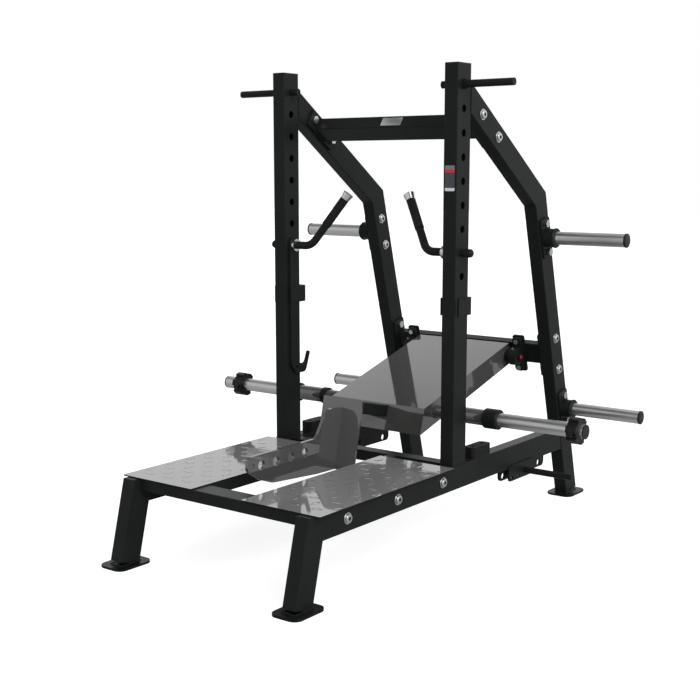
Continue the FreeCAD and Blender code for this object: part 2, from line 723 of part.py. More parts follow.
def make_horns():
    """Four storage horns, each a chromed tube welded into a bolted collar bracket."""
    start = FRAME_OUTSIDE + HORN_PLATE
    shoulder = start + COLLAR_LENGTH
    end = HORN_REACH - HORN_CAP
    bore = HORN_DIAMETER - 2 * HORN_WALL
    brackets = []
    caps = []
    for level, z in (("upper", UPPER_HORN_Z), ("lower", LOWER_HORN_Z)):
        tube = ring((shoulder, end), 0, 0, HORN_DIAMETER, bore)
        for side in SIDES:
            save(side + "_" + level + "_horn", on_side(side, on_post(tube, z)))
        half = HORN_PLATE_LENGTH / 2
        flat = box((FRAME_OUTSIDE, start), (-HORN_PLATE_WIDTH / 2, HORN_PLATE_WIDTH / 2), (-half, half),
                   HORN_PLATE_CORNER, X_AXIS)
        holes = [(0, HORN_BOLT_SPREAD / 2), (0, -HORN_BOLT_SPREAD / 2)]
        flat = bolt_holes(flat, holes, (FRAME_OUTSIDE, start))
        collar = ring((start, shoulder), 0, 0, COLLAR_DIAMETER, bore)
        brackets.append(on_post(flat.fuse(collar), z))
        disc = rod((end, HORN_REACH), 0, 0, HORN_DIAMETER)
        plug = rod((end - 3 * HORN_CAP, end), 0, 0, bore - 2 * FIT)
        caps.append(on_post(disc.fuse(plug), z))
    save("horn_collars", *both(brackets))
    save("horn_caps", *both(caps))


# ------------------------------------------------------------------ stop blocks

def make_stop_blocks():
    """Rubber blocks on the rails, which catch the loading axle at the bottom of its travel."""
    x = (FRAME_MIDDLE - STOP_WIDTH / 2, FRAME_MIDDLE + STOP_WIDTH / 2)
    block = box(x, (STOP_FRONT, STOP_FRONT + STOP_LENGTH), (RAIL_TOP, RAIL_TOP + STOP_HEIGHT),
                STOP_CORNER, Z_AXIS)
    for y in stop_screw_places():
        top = Vector(FRAME_MIDDLE, y, RAIL_TOP + STOP_HEIGHT + 1)
        block = block.cut(Part.makeCylinder(STOP_SCREW_BORE / 2, STOP_SCREW_SINK + 1, top, -Z_AXIS))
        shank = SMALL_SHANK / 2 + FIT
        block = block.cut(Part.makeCylinder(shank, STOP_HEIGHT + 2, top, -Z_AXIS))
    save("stop_blocks", *both([block]))


def stop_screw_places():
    """Y of the two screws in a stop block."""
    middle = STOP_FRONT + STOP_LENGTH / 2
    return (middle - STOP_SCREW_SPREAD / 2, middle + STOP_SCREW_SPREAD / 2)


def stop_screw(y):
    """Screw sunk in a stop block, down to the rail."""
    head_low = RAIL_TOP + STOP_HEIGHT - STOP_SCREW_SINK
    head = Part.makeCylinder(STOP_SCREW_BORE / 2 - FIT, SMALL_HEAD_HEIGHT, Vector(FRAME_MIDDLE, y, head_low))
    shank = Part.makeCylinder(SMALL_SHANK / 2, head_low - RAIL_TOP, Vector(FRAME_MIDDLE, y, RAIL_TOP))
    return head.fuse(shank)


# ------------------------------------------------------------------ lever pivot

def in_pivot_frame(shape):
    """A piece modelled with the beam's front face at y = 0, seated on the rear beam."""
    shifted = shape.copy()
    shifted.translate(Vector(0, -REAR_BEAM_THICK / 2, 0))
    return on_post(shifted, REAR_BEAM_Z)


PIVOT_DEPTH = PIVOT_PLATE + BLOCK_HEIGHT
PIVOT = turned_point((-REAR_BEAM_THICK / 2 - PIVOT_DEPTH, 0), POST_LEAN, post_center(REAR_BEAM_Z))


def make_pivot():
    """Mounting plates, pillow blocks and bearing inserts on the rear beam."""
    x = (PIVOT_X - PIVOT_PLATE_WIDTH / 2, PIVOT_X + PIVOT_PLATE_WIDTH / 2)
    half = PIVOT_PLATE_LENGTH / 2
    back = box(x, (-PIVOT_PLATE, 0), (-half, half), 8, Y_AXIS)
    foot_x = (PIVOT_X - BLOCK_WIDTH / 2, PIVOT_X + BLOCK_WIDTH / 2)
    foot = box(foot_x, (-PIVOT_PLATE - BLOCK_FOOT, -PIVOT_PLATE), (-BLOCK_LENGTH / 2, BLOCK_LENGTH / 2), 12,
               Y_AXIS)
    boss = rod((PIVOT_X - INSERT_WIDTH / 2, PIVOT_X + INSERT_WIDTH / 2), -PIVOT_DEPTH, 0, BLOCK_BOSS)
    neck = box((PIVOT_X - INSERT_WIDTH / 2, PIVOT_X + INSERT_WIDTH / 2), (-PIVOT_DEPTH, -PIVOT_PLATE),
               (-BLOCK_BOSS / 2, BLOCK_BOSS / 2))
    bore = rod((PIVOT_X - BLOCK_WIDTH, PIVOT_X + BLOCK_WIDTH), -PIVOT_DEPTH, 0, INSERT_DIAMETER + 2 * FIT)
    behind = box((PIVOT_X - BLOCK_WIDTH, PIVOT_X + BLOCK_WIDTH), (-PIVOT_PLATE, BLOCK_BOSS), (-half, half))
    block = foot.fuse(boss).fuse(neck).cut(bore).cut(behind).removeSplitter()
    insert = ring((PIVOT_X - INSERT_WIDTH / 2, PIVOT_X + INSERT_WIDTH / 2), -PIVOT_DEPTH, 0,
                  INSERT_DIAMETER, SHAFT_DIAMETER + 2 * FIT)
    for sign in (1, -1):
        hole = Part.makeCylinder(SMALL_SHANK / 2 + FIT, PIVOT_DEPTH,
                                 Vector(PIVOT_X, -PIVOT_DEPTH, sign * BLOCK_BOLT_SPREAD / 2), Y_AXIS)
        back = back.cut(hole)
        block = block.cut(hole)
    save("pivot_plates", *both([in_pivot_frame(back)]))
    save("pillow_blocks", *both([in_pivot_frame(block)]))
    save("bearing_inserts", *both([in_pivot_frame(insert)]))


def pillow_bolt(sign):
    """Bolt through a pillow block's foot and its plate."""
    z = sign * BLOCK_BOLT_SPREAD / 2
    face = -PIVOT_PLATE - BLOCK_FOOT
    head = Part.makeCylinder(SMALL_HEAD / 2, SMALL_HEAD_HEIGHT, Vector(PIVOT_X, face, z), -Y_AXIS)
    shank = Part.makeCylinder(SMALL_SHANK / 2, -face, Vector(PIVOT_X, face, z), Y_AXIS)
    return in_pivot_frame(head.fuse(shank))


def make_bracket_hardware():
    """Small bolts of the pillow blocks and stop blocks."""
    pieces = [pillow_bolt(sign) for sign in (1, -1)]
    pieces += [stop_screw(y) for y in stop_screw_places()]
    save("bracket_hardware", *both(pieces))


# ------------------------------------------------------------------ lever

def lever(shape):
    """From the lever's own frame (forward is -Y, origin on the pivot) to its rest position."""
    return turned(shape, LEVER_TILT, PIVOT)


NOSE_TOP = (-PANEL_FRONT, LEVER_TOP)
NOSE_SLOPE = NOSE_LEAN / (LEVER_TOP - LEVER_BOTTOM)


def nose(w, behind=0.0):
    """Y of the nose plane in the lever frame at a height, or of a plane parallel behind it."""
    thickness = behind * math.sqrt(1 + NOSE_SLOPE ** 2)
    return -(PANEL_FRONT + (LEVER_TOP - w) * NOSE_SLOPE) + thickness


LEVER_SPAN = (-LEVER_HALF_WIDTH, LEVER_HALF_WIDTH)
PANEL_UNDER = LEVER_TOP - PANEL_THICK


def make_lever_body():
    """Top panel, two side arms and the leaning front plate of the lever."""
    panel = plate(LEVER_SPAN, [(PANEL_REAR, LEVER_TOP, 0), (nose(LEVER_TOP), LEVER_TOP, 0),
                               (nose(PANEL_UNDER), PANEL_UNDER, 0), (PANEL_REAR, PANEL_UNDER, 0)])
    front = plate(LEVER_SPAN, [(nose(PANEL_UNDER), PANEL_UNDER, 0), (nose(LEVER_BOTTOM), LEVER_BOTTOM, 0),
                               (nose(LEVER_BOTTOM, NOSE_THICK), LEVER_BOTTOM, 0),
                               (nose(PANEL_UNDER, NOSE_THICK), PANEL_UNDER, 0)])
    arm_x = (LEVER_HALF_WIDTH - ARM_THICK, LEVER_HALF_WIDTH)
    arm_end = ARM_REAR_RADIUS
    arm = plate(arm_x, [(nose(PANEL_UNDER, NOSE_THICK), PANEL_UNDER, 0),
                        (nose(LEVER_BOTTOM, NOSE_THICK), LEVER_BOTTOM, 0),
                        (arm_end, LEVER_BOTTOM, arm_end - 2), (arm_end, PANEL_UNDER, ARM_REAR_CORNER)],
                [(0, 0, SHAFT_DIAMETER + 2 * FIT), (-AXLE_U, AXLE_W, AXLE_DIAMETER + 2 * FIT)])
    save("lever_top_panel", lever(panel))
    save("lever_front_plate", lever(front))
    for side in SIDES:
        save("lever_" + side + "_arm", lever(on_side(side, arm)))


def make_pivot_shaft():
    """Pivot shaft with the two spacer rings between the arms and the bearings."""
    shaft = rod((-SHAFT_REACH, SHAFT_REACH), 0, 0, SHAFT_DIAMETER)
    spacer = ring((LEVER_HALF_WIDTH, PIVOT_X - BLOCK_WIDTH / 2 - RUN), 0, 0, SPACER_DIAMETER,
                  SHAFT_DIAMETER + 2 * FIT)
    save("lever_pivot_shaft", lever(shaft), *[lever(piece) for piece in both([spacer])])


def on_axle(shape):
    """A piece modelled about the loading axle's axis."""
    shifted = shape.copy()
    shifted.translate(Vector(0, -AXLE_U, AXLE_W))
    return lever(shifted)


def make_axle():
    """Loading axle: cross tube with its thick carriers, collars, chromed sleeves and end caps."""
    ring_end = AXLE_RING_X + AXLE_RING_WIDTH
    core = rod((-CARRIER_END, CARRIER_END), 0, 0, AXLE_DIAMETER)
    for piece in both([rod((ring_end, CARRIER_END), 0, 0, CARRIER_DIAMETER)]):
        core = core.fuse(piece)
    core = core.cut(rod((-CARRIER_END - 1, CARRIER_END + 1), 0, 0, AXLE_DIAMETER - 2 * AXLE_WALL))
    save("axle_tube", on_axle(core))
    end = SLEEVE_REACH - SLEEVE_CAP
    sleeve = ring((CARRIER_END, end), 0, 0, SLEEVE_DIAMETER, SLEEVE_DIAMETER - 2 * SLEEVE_WALL)
    for side in SIDES:
        save(side + "_lever_sleeve", on_axle(on_side(side, sleeve)))
    inner = ring((AXLE_RING_X, ring_end), 0, 0, AXLE_RING_DIAMETER, AXLE_DIAMETER + 2 * FIT)
    outer = ring((CARRIER_END, SLEEVE_COLLAR_END), 0, 0, SLEEVE_COLLAR_DIAMETER, SLEEVE_DIAMETER + 2 * FIT)
    outer = outer.makeChamfer(3.0, [e for e in outer.Edges
                                    if abs(e.BoundBox.XMin - SLEEVE_COLLAR_END) < 1e-6
                                    and e.BoundBox.YLength > SLEEVE_DIAMETER + 5])
    save("sleeve_collars", *[on_axle(piece) for piece in both([inner, outer])])
    disc = rod((end, SLEEVE_REACH), 0, 0, SLEEVE_DIAMETER)
    plug = rod((end - 3 * SLEEVE_CAP, end), 0, 0, SLEEVE_DIAMETER - 2 * SLEEVE_WALL - 2 * FIT)
    save("sleeve_caps", *[on_axle(piece) for piece in both([disc.fuse(plug)])])


DROP_AT = NOSE_TOP


def in_drop_frame(shape):
    """A piece modelled with the neck along -Y from the lever's front edge."""
    return lever(turned(shape, -NECK_RISE, DROP_AT))


def in_tongue_frame(shape):
    """A piece modelled level, with its origin at the lower front edge of the drop plate."""
    return in_drop_frame(turned(shape, TONGUE_TURN, (-DROP_REACH, -DROP_LENGTH)))


def make_drop():
    """Neck tube, drop plate and the belt tongue with its row of holes."""
    neck = hollow((-NECK_WIDTH / 2, NECK_WIDTH / 2), (-DROP_REACH + DROP_THICK, BEAM_DEPTH),
                  (-NECK_BELOW - NECK_HEIGHT, -NECK_BELOW), NECK_WALL, NECK_CORNER, Y_AXIS)
    low = turned_point((nose(LEVER_BOTTOM) - DROP_AT[0], LEVER_BOTTOM - DROP_AT[1]), NECK_RISE)
    neck = neck.cut(left_of((0.0, 0.0), low))
    drop = box((-DROP_HALF_WIDTH, DROP_HALF_WIDTH), (-DROP_REACH, -DROP_REACH + DROP_THICK),
               (-DROP_LENGTH, 0), 3, Y_AXIS)
    save("drop_neck", in_drop_frame(neck))
    save("drop_plate", in_drop_frame(drop))
    rise = math.tan(math.radians(TONGUE_TURN))
    shoulder = RISER_TOP - 10
    holes = [(-BELT_HOLE_FIRST - step * BELT_HOLE_SPACING, BELT_HOLE_Z, BELT_HOLE)
             for step in range(BELT_HOLE_COUNT)]
    tongue = plate((-TONGUE_THICK / 2, TONGUE_THICK / 2),
                   [(0, 0, 0), (shoulder * rise, shoulder, 0), (-RISER_AHEAD, RISER_TOP, RISER_ROUND),
                    (-BEND_AHEAD, TONGUE_TOP + BEND_RISE, BEND_ROUND),
                    (-TONGUE_REACH + NOSE_BACK, TONGUE_TOP, NOSE_ROUND),
                    (-TONGUE_REACH, CHIN_Z, CHIN_ROUND), (-BELLY_AHEAD, BELLY_Z, BELLY_ROUND),
                    (-KEEL_AHEAD, KEEL_Z, KEEL_ROUND), (-HEEL_AHEAD, HEEL_Z, HEEL_ROUND)],
                   holes + [(-PIN_HOLE_Y, PIN_HOLE_Z, PIN_HOLE)])
    save("belt_tongue", in_tongue_frame(tongue))


# ------------------------------------------------------------------ clamp collars

def make_clamps():
    """Lobed plastic clamp collars on the loading sleeves, each with a hinged latch."""
    for side in SIDES:
        middle = SLEEVE_REACH - (CLAMP_LEFT_INSET if side == "left" else CLAMP_RIGHT_INSET)
        x = (middle - CLAMP_WIDTH / 2, middle + CLAMP_WIDTH / 2)
        body = rod(x, 0, 0, CLAMP_BODY)
        for step in range(CLAMP_LOBES):
            lobe = box(x, (-CLAMP_LOBE_WIDTH / 2, CLAMP_LOBE_WIDTH / 2), (0, CLAMP_LOBE / 2), 4, X_AXIS)
            body = body.fuse(turned(lobe, 360 / CLAMP_LOBES * step))
        body = body.cut(rod((x[0] - 1, x[1] + 1), 0, 0, SLEEVE_DIAMETER + 2 * RUN))
        latch_x = (middle - LATCH_WIDTH / 2, middle + LATCH_WIDTH / 2)
        low = CLAMP_LOBE / 2 - LATCH_THICK
        half = CLAMP_LOBE_WIDTH / 2
        seat = box((latch_x[0] - RUN, latch_x[1] + RUN), (-CLAMP_LOBE, half + 1), (low - RUN, CLAMP_LOBE))
        pin_y = half - LATCH_THICK / 2
        pin_z = low + LATCH_THICK / 2
        body = body.cut(seat)
        latch = plate(latch_x, [(half, low, LATCH_PIN), (half, low + LATCH_THICK, LATCH_PIN),
                                (-half - LATCH_TAIL, low + LATCH_THICK - LATCH_TAIL_DROP, LATCH_ROUND),
                                (-half - LATCH_TAIL - LATCH_TAIL_DROP, low + LATCH_TAIL_RISE, LATCH_ROUND),
                                (-half, low, LATCH_ROUND)])
        pin = rod((x[0] + 2, x[1] - 2), pin_y, pin_z, LATCH_PIN)
        body = body.cut(rod((x[0] + 2 - FIT, x[1] - 2 + FIT), pin_y, pin_z, LATCH_PIN + 2 * FIT))
        latch = latch.fuse(pin)
        save(side + "_clamp_collar", on_axle(on_side(side, turned(body, LATCH_TURN))))
        save(side + "_clamp_latch", on_axle(on_side(side, turned(latch, LATCH_TURN))))


# ------------------------------------------------------------------ hook levers

def at_hook(shape):
    """From the hook pivot's frame to its place on the upright."""
    return turned(shape, 0.0, (HOLE_Y, HOOK_Z))


HOOK_X = (FRAME_INSIDE - RUN - HOOK_THICK, FRAME_INSIDE - RUN)


def handle_points():
    """Path of the bent rod: stub end, bend and upper end."""
    return Vector(ROD_STUB, 0, 0), Vector(ROD_BEND_X, 0, 0), Vector(ROD_END_X, ROD_END_BACK, ROD_END_RISE)


def make_rod():
    """Shaft and handle in one bent rod, with a domed outer end."""
    stub, bend, end = handle_points()
    back = (stub - bend).normalize()
    ahead = (end - bend).normalize()
    half = back.getAngle(ahead) / 2
    run = ROD_BEND_RADIUS / math.tan(half)
    middle = bend + (back + ahead).normalize() * (ROD_BEND_RADIUS / math.sin(half) - ROD_BEND_RADIUS)
    first = bend + back * run
    last = bend + ahead * run
    path = Part.Wire([Part.LineSegment(stub, first).toShape(), Part.Arc(first, middle, last).toShape(),
                      Part.LineSegment(last, end).toShape()])
    circle = Part.Wire([Part.makeCircle(ROD_DIAMETER / 2, stub, X_AXIS)])
    shape = path.makePipeShell([circle], True, False)
    rim = [e for e in shape.Edges if e.BoundBox.XMin > ROD_STUB - 0.01]
    return shape.makeFillet(ROD_DIAMETER / 3, rim).Solids[0]


def along_handle(distance, diameter, length, far_diameter=None):
    """Sleeve or cap on the handle: its lower face at a distance from the rod's upper end."""
    _, bend, end = handle_points()
    ahead = (end - bend).normalize()
    start = end + ahead * distance
    if far_diameter is None:
        return Part.makeCylinder(diameter / 2, length, start, ahead)
    return Part.makeCone(diameter / 2, far_diameter / 2, length, start, ahead)


def make_hooks():
    """J-hook bars with their bent handles, grips, chromed end caps and washers."""
    bar = plate(HOOK_X, [(HOOK_FRONT, HOOK_HEAD, HOOK_HEAD_ROUND), (HOOK_REAR, HOOK_HEAD, HOOK_HEAD_ROUND),
                         (HOOK_REAR, HOOK_THROAT, HOOK_THROAT_ROUND),
                         (HOOK_THROAT_END, HOOK_THROAT, HOOK_THROAT_ROUND),
                         (HOOK_TIP_Y - HOOK_TIP_WIDTH, HOOK_TIP_Z + HOOK_TIP_SLOPE, HOOK_TIP_INNER_ROUND),
                         (HOOK_TIP_Y, HOOK_TIP_Z, HOOK_TIP_OUTER_ROUND), (HOOK_TOE_Y, HOOK_HEEL, HOOK_TOE_ROUND),
                         (HOOK_HEEL_Y, HOOK_HEEL, HOOK_HEEL_ROUND),
                         (HOOK_FRONT + HOOK_SHIN_INSET, HOOK_HEEL + HOOK_SHIN_RISE, HOOK_SHIN_ROUND)],
                [(HOOK_HOLE_Y, HOOK_THROAT - HOOK_HOLE_DROP, HOOK_HOLE)])
    shaft = make_rod()
    cap_gap = END_CAP_LENGTH / 2
    core = along_handle(-GRIP_LENGTH - END_CAP_LENGTH, ROD_DIAMETER + 2 * FIT, GRIP_LENGTH + END_CAP_LENGTH)
    grip = along_handle(-GRIP_LENGTH - cap_gap, GRIP_DIAMETER, GRIP_LENGTH).cut(core)
    cap = along_handle(-cap_gap, GRIP_DIAMETER, END_CAP_LENGTH, END_CAP_DIAMETER)
    cap = cap.cut(along_handle(-END_CAP_LENGTH, ROD_DIAMETER + 2 * FIT, END_CAP_LENGTH))
    washer = ring((HOOK_X[0] - WASHER_WIDTH, HOOK_X[0]), 0, 0, WASHER_DIAMETER, ROD_DIAMETER + 2 * FIT)
    for side in SIDES:
        hook = on_side(side, bar).fuse(on_side(side, shaft)).removeSplitter()
        save(side + "_hook_lever", at_hook(hook))
        save(side + "_grip", at_hook(on_side(side, grip)))
        save(side + "_handle_trim", at_hook(on_side(side, cap)), at_hook(on_side(side, washer)))


def make_keepers():
    """U-shaped guards round the back of the uprights, which stop the hooks' rearward swing."""
    inner_x = HOOK_X[0] - RUN - KEEPER_THICK
    x = (inner_x, FRAME_OUTSIDE + KEEPER_THICK)
    z = (KEEPER_LOW, KEEPER_HIGH)
    back = KEEPER_WEB_Y + KEEPER_THICK
    keeper = box(x, (0, back), z, KEEPER_BEND, Z_AXIS)
    keeper = keeper.cut(box((x[0] + KEEPER_THICK, x[1] - KEEPER_THICK), (-KEEPER_BEND, KEEPER_WEB_Y), z))
    for span, front in (((x[0] - 1, FRAME_MIDDLE), KEEPER_INNER_FRONT),
                        ((FRAME_MIDDLE, x[1] + 1), KEEPER_OUTER_FRONT)):
        keeper = keeper.cut(box(span, (-1, front), z))
    save("hook_keepers", *both([keeper]))


def make_decal():
    """Plain decal without any print, on the front of the right upright."""
    x = (FRAME_MIDDLE - DECAL_WIDTH / 2, FRAME_MIDDLE + DECAL_WIDTH / 2)
    save("upright_decal", box(x, (-DECAL_THICK, 0), (DECAL_LOW, DECAL_HIGH), DECAL_CORNER, Y_AXIS))


os.makedirs("parts", exist_ok=True)
make_side_frames()
make_beams()
make_platforms()
make_pegs()
make_hangers()
make_horns()
make_stop_blocks()
make_pivot()
make_bracket_hardware()
make_frame_bolts()
make_lever_body()
make_pivot_shaft()
make_axle()
make_drop()
make_clamps()
make_hooks()
make_keepers()
make_decal()
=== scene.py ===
import math

import bmesh
import bpy
from mathutils import Matrix, Vector


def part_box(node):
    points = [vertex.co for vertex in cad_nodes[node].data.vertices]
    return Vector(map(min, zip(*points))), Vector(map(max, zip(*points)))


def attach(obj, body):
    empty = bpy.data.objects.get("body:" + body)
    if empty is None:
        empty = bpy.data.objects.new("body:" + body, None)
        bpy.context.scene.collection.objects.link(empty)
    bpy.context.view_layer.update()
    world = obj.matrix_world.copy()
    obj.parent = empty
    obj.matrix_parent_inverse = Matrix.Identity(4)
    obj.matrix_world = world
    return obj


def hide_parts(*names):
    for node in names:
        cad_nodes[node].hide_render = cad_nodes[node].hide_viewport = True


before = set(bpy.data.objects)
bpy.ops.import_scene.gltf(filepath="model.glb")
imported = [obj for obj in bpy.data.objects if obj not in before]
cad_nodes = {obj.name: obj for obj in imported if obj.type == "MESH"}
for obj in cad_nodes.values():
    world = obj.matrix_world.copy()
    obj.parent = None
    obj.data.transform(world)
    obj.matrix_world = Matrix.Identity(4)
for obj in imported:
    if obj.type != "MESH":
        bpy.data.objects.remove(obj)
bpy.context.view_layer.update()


# ---------------------------------------------------------------- side frames
# Each side frame is welded from rectangular steel tube: base rail, front leg, upright, diagonal
# brace and rear post. The whole frame is powder coated black, which leaves a fine satin grain.

COAT_COLOR = (0.0125, 0.0150, 0.0143, 1)
COAT_DUSTY = (0.0150, 0.0178, 0.0170, 1)
COAT_ROUGHNESS = 0.34
COAT_GLOSS = 0.08
COAT_GRAIN_SCALE = 1400.0
COAT_GRAIN_DEPTH = 0.00003
COAT_CLOUD_SCALE = 9.0
CLOUD_FIRST_UNTIL = 0.35
CLOUD_SECOND_FROM = 0.7


def new_material(name):
    """A node material with its Principled shader, ready for values and links."""
    material = bpy.data.materials.new(name)
    material.use_nodes = True
    return material, material.node_tree, material.node_tree.nodes["Principled BSDF"]


def noise_on_object(tree, scale, detail=3.0):
    """Noise that reads the piece's own coordinates, in metres."""
    place = tree.nodes.new("ShaderNodeTexCoord")
    noise = tree.nodes.new("ShaderNodeTexNoise")
    noise.inputs["Scale"].default_value = scale
    noise.inputs["Detail"].default_value = detail
    tree.links.new(place.outputs["Object"], noise.inputs["Vector"])
    return noise


def add_grain(tree, shader, scale, depth, detail=3.0):
    """Fine surface relief of a given depth in metres."""
    noise = noise_on_object(tree, scale, detail)
    bump = tree.nodes.new("ShaderNodeBump")
    bump.inputs["Strength"].default_value = 1.0
    bump.inputs["Distance"].default_value = depth
    tree.links.new(noise.outputs["Fac"], bump.inputs["Height"])
    tree.links.new(bump.outputs["Normal"], shader.inputs["Normal"])


def add_clouds(tree, shader, scale, first, second):
    """Slow drift between two near colours."""
    noise = noise_on_object(tree, scale)
    ramp = tree.nodes.new("ShaderNodeValToRGB")
    ramp.color_ramp.elements[0].position = CLOUD_FIRST_UNTIL
    ramp.color_ramp.elements[0].color = first
    ramp.color_ramp.elements[1].position = CLOUD_SECOND_FROM
    ramp.color_ramp.elements[1].color = second
    tree.links.new(noise.outputs["Fac"], ramp.inputs["Fac"])
    tree.links.new(ramp.outputs["Color"], shader.inputs["Base Color"])


def make_powder_coat():
    material, tree, shader = new_material("black_powder_coat")
    shader.inputs["Roughness"].default_value = COAT_ROUGHNESS
    shader.inputs["Specular IOR Level"].default_value = COAT_GLOSS
    add_clouds(tree, shader, COAT_CLOUD_SCALE, COAT_COLOR, COAT_DUSTY)
    add_grain(tree, shader, COAT_GRAIN_SCALE, COAT_GRAIN_DEPTH)
    return material


def dress(material, *names):
    """Give CAD pieces a finish through their objects' material slots."""
    for name in names:
        for piece_slot in cad_nodes[name].material_slots:
            piece_slot.link = "OBJECT"
            piece_slot.material = material


def both_sides(*names):
    return [side + "_" + name for side in ("left", "right") for name in names]


powder_coat = make_powder_coat()
dress(powder_coat, *both_sides("base_rail", "front_leg", "rear_post", "diagonal_brace", "upright"))


# ---------------------------------------------------------------- weld beads
# Every butted tube is closed by a MIG weld: a row of small overlapping beads round the tube, coated
# with the frame. The two mitred corners of each side frame are ground flush. The lever's welds have
# the finish of its plates.

BEAD_SPACING = 0.0034
CORNER_STEP_DEGREES = 30
BEAD_RADIUS = 0.0027
BEAD_FLAT = 0.75
BEAD_AROUND = 8
BEAD_RINGS = 5
TUBE_HALF_WIDTH = 0.026
TUBE_HALF_DEPTH = 0.0425
TUBE_CORNER = 0.003
BEAM_HALF_DEPTH = 0.0400
TOP_BEAM_HALF = 0.025
POST_LEAN = math.radians(15.1)
LEG_LEAN = math.radians(14.2)
BRACE_DROP = math.radians(34.5)
REAR_BEAM_HALF = 0.020
X_AXIS = Vector((1, 0, 0))
Y_AXIS = Vector((0, 1, 0))
Z_AXIS = Vector((0, 0, 1))


def add_input(tree, name, kind, value=None):
    """Named input of a geometry tree."""
    socket = tree.interface.new_socket(name=name, in_out="INPUT", socket_type=kind)
    if value is not None:
        socket.default_value = value
    return socket


def input_id(tree, name):
    """Identifier of a geometry tree's named input."""
    for item in tree.interface.items_tree:
        if item.item_type == "SOCKET" and item.in_out == "INPUT" and item.name == name:
            return item.identifier
    raise KeyError(name)


def make_bead_tree():
    """Beads along every edge line of a mesh."""
    tree = bpy.data.node_groups.new("weld_beads", "GeometryNodeTree")
    add_input(tree, "Seams", "NodeSocketGeometry")
    add_input(tree, "Spacing", "NodeSocketFloat", BEAD_SPACING)
    add_input(tree, "Radius", "NodeSocketFloat", BEAD_RADIUS)
    add_input(tree, "Finish", "NodeSocketMaterial")
    tree.interface.new_socket(name="Beads", in_out="OUTPUT", socket_type="NodeSocketGeometry")
    new = tree.nodes.new
    link = tree.links.new
    given = new("NodeGroupInput")
    made = new("NodeGroupOutput")
    line = new("GeometryNodeMeshToCurve")
    spaced = new("GeometryNodeResampleCurve")
    set_mode(spaced, "Length")
    tangent = new("GeometryNodeInputTangent")
    turn = new("FunctionNodeAlignRotationToVector")
    turn.axis = "Z"
    bead = new("GeometryNodeMeshUVSphere")
    bead.inputs["Segments"].default_value = BEAD_AROUND
    bead.inputs["Rings"].default_value = BEAD_RINGS
    squash = new("GeometryNodeTransform")
    squash.inputs["Scale"].default_value = (1, 1, BEAD_FLAT)
    placed = new("GeometryNodeInstanceOnPoints")
    real = new("GeometryNodeRealizeInstances")
    smooth = new("GeometryNodeSetShadeSmooth")
    finish = new("GeometryNodeSetMaterial")
    link(given.outputs["Seams"], line.inputs["Mesh"])
    link(line.outputs["Curve"], spaced.inputs["Curve"])
    link(given.outputs["Spacing"], spaced.inputs["Length"])
    link(tangent.outputs["Tangent"], turn.inputs["Vector"])
    link(given.outputs["Radius"], bead.inputs["Radius"])
    link(bead.outputs["Mesh"], squash.inputs["Geometry"])
    link(spaced.outputs["Curve"], placed.inputs["Points"])
    link(squash.outputs["Geometry"], placed.inputs["Instance"])
    link(turn.outputs["Rotation"], placed.inputs["Rotation"])
    link(placed.outputs["Instances"], real.inputs["Geometry"])
    link(real.outputs["Geometry"], smooth.inputs[0])
    link(smooth.outputs[0], finish.inputs["Geometry"])
    link(given.outputs["Finish"], finish.inputs["Material"])
    link(finish.outputs["Geometry"], made.inputs["Beads"])
    return tree


def set_mode(node, mode):
    """Set a node's mode, which is a menu socket in newer versions and a property in older ones."""
    if "Mode" in node.inputs:
        node.inputs["Mode"].default_value = mode
    else:
        node.mode = mode.upper()


def grow(name, tree, mesh, inputs):
    """Run a geometry tree on a mesh and keep its result as a plain mesh object."""
    seed_object = bpy.data.objects.new(name + "_seed", mesh)
    bpy.context.scene.collection.objects.link(seed_object)
    modifier = seed_object.modifiers.new("grow", "NODES")
    modifier.node_group = tree
    for label, value in inputs.items():
        modifier[input_id(tree, label)] = value
    seed_object.update_tag()
    bpy.context.view_layer.update()
    evaluated = seed_object.evaluated_get(bpy.context.evaluated_depsgraph_get())
    result = bpy.data.meshes.new_from_object(evaluated)
    seed_object.modifiers.remove(modifier)
    bpy.data.objects.remove(seed_object)
    result.name = name
    piece = bpy.data.objects.new(name, result)
    bpy.context.scene.collection.objects.link(piece)
    return piece


def rounded_loop(centre, across, half_across, along, half_along, corner=TUBE_CORNER):
    """Points round a rectangle with rounded corners."""
    points = []
    for quarter in range(4):
        turn = math.radians(90 * quarter)
        sign_a = (1, -1, -1, 1)[quarter]
        sign_b = (1, 1, -1, -1)[quarter]
        for step in range(4):
            angle = turn + math.radians(CORNER_STEP_DEGREES * step)
            a = sign_a * (half_across - corner) + corner * math.cos(angle)
            b = sign_b * (half_along - corner) + corner * math.sin(angle)
            points.append(centre + across * a + along * b)
    return points


def round_loop(centre, radius, steps=32):
    """Points round a circle square to X."""
    turns = [2 * math.pi * step / steps for step in range(steps)]
    return [centre + Vector((0, radius * math.cos(turn), radius * math.sin(turn))) for turn in turns]


def seam_mesh(name, closed_lines, open_lines=()):
    """Edge-only mesh of the given point lines."""
    vertices = []
    edges = []
    for line, closes in [(l, True) for l in closed_lines] + [(l, False) for l in open_lines]:
        start = len(vertices)
        vertices.extend(tuple(p) for p in line)
        edges.extend((start + i, start + i + 1) for i in range(len(line) - 1))
        if closes:
            edges.append((start + len(line) - 1, start))
    mesh = bpy.data.meshes.new(name)
    mesh.from_pydata(vertices, edges, [])
    return mesh


def tilted(y, z, angle):
    """Unit direction in the YZ plane, turned about X."""
    return Matrix.Rotation(angle, 3, "X") @ Vector((0, y, z))


def middle(node):
    low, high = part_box(node)
    return (low + high) / 2


def between(first, second, x):
    """Middle, direction and half length of the line between two (y, z) points."""
    start = Vector((x, *first))
    end = Vector((x, *second))
    return (start + end) / 2, (end - start).normalized(), (end - start).length / 2


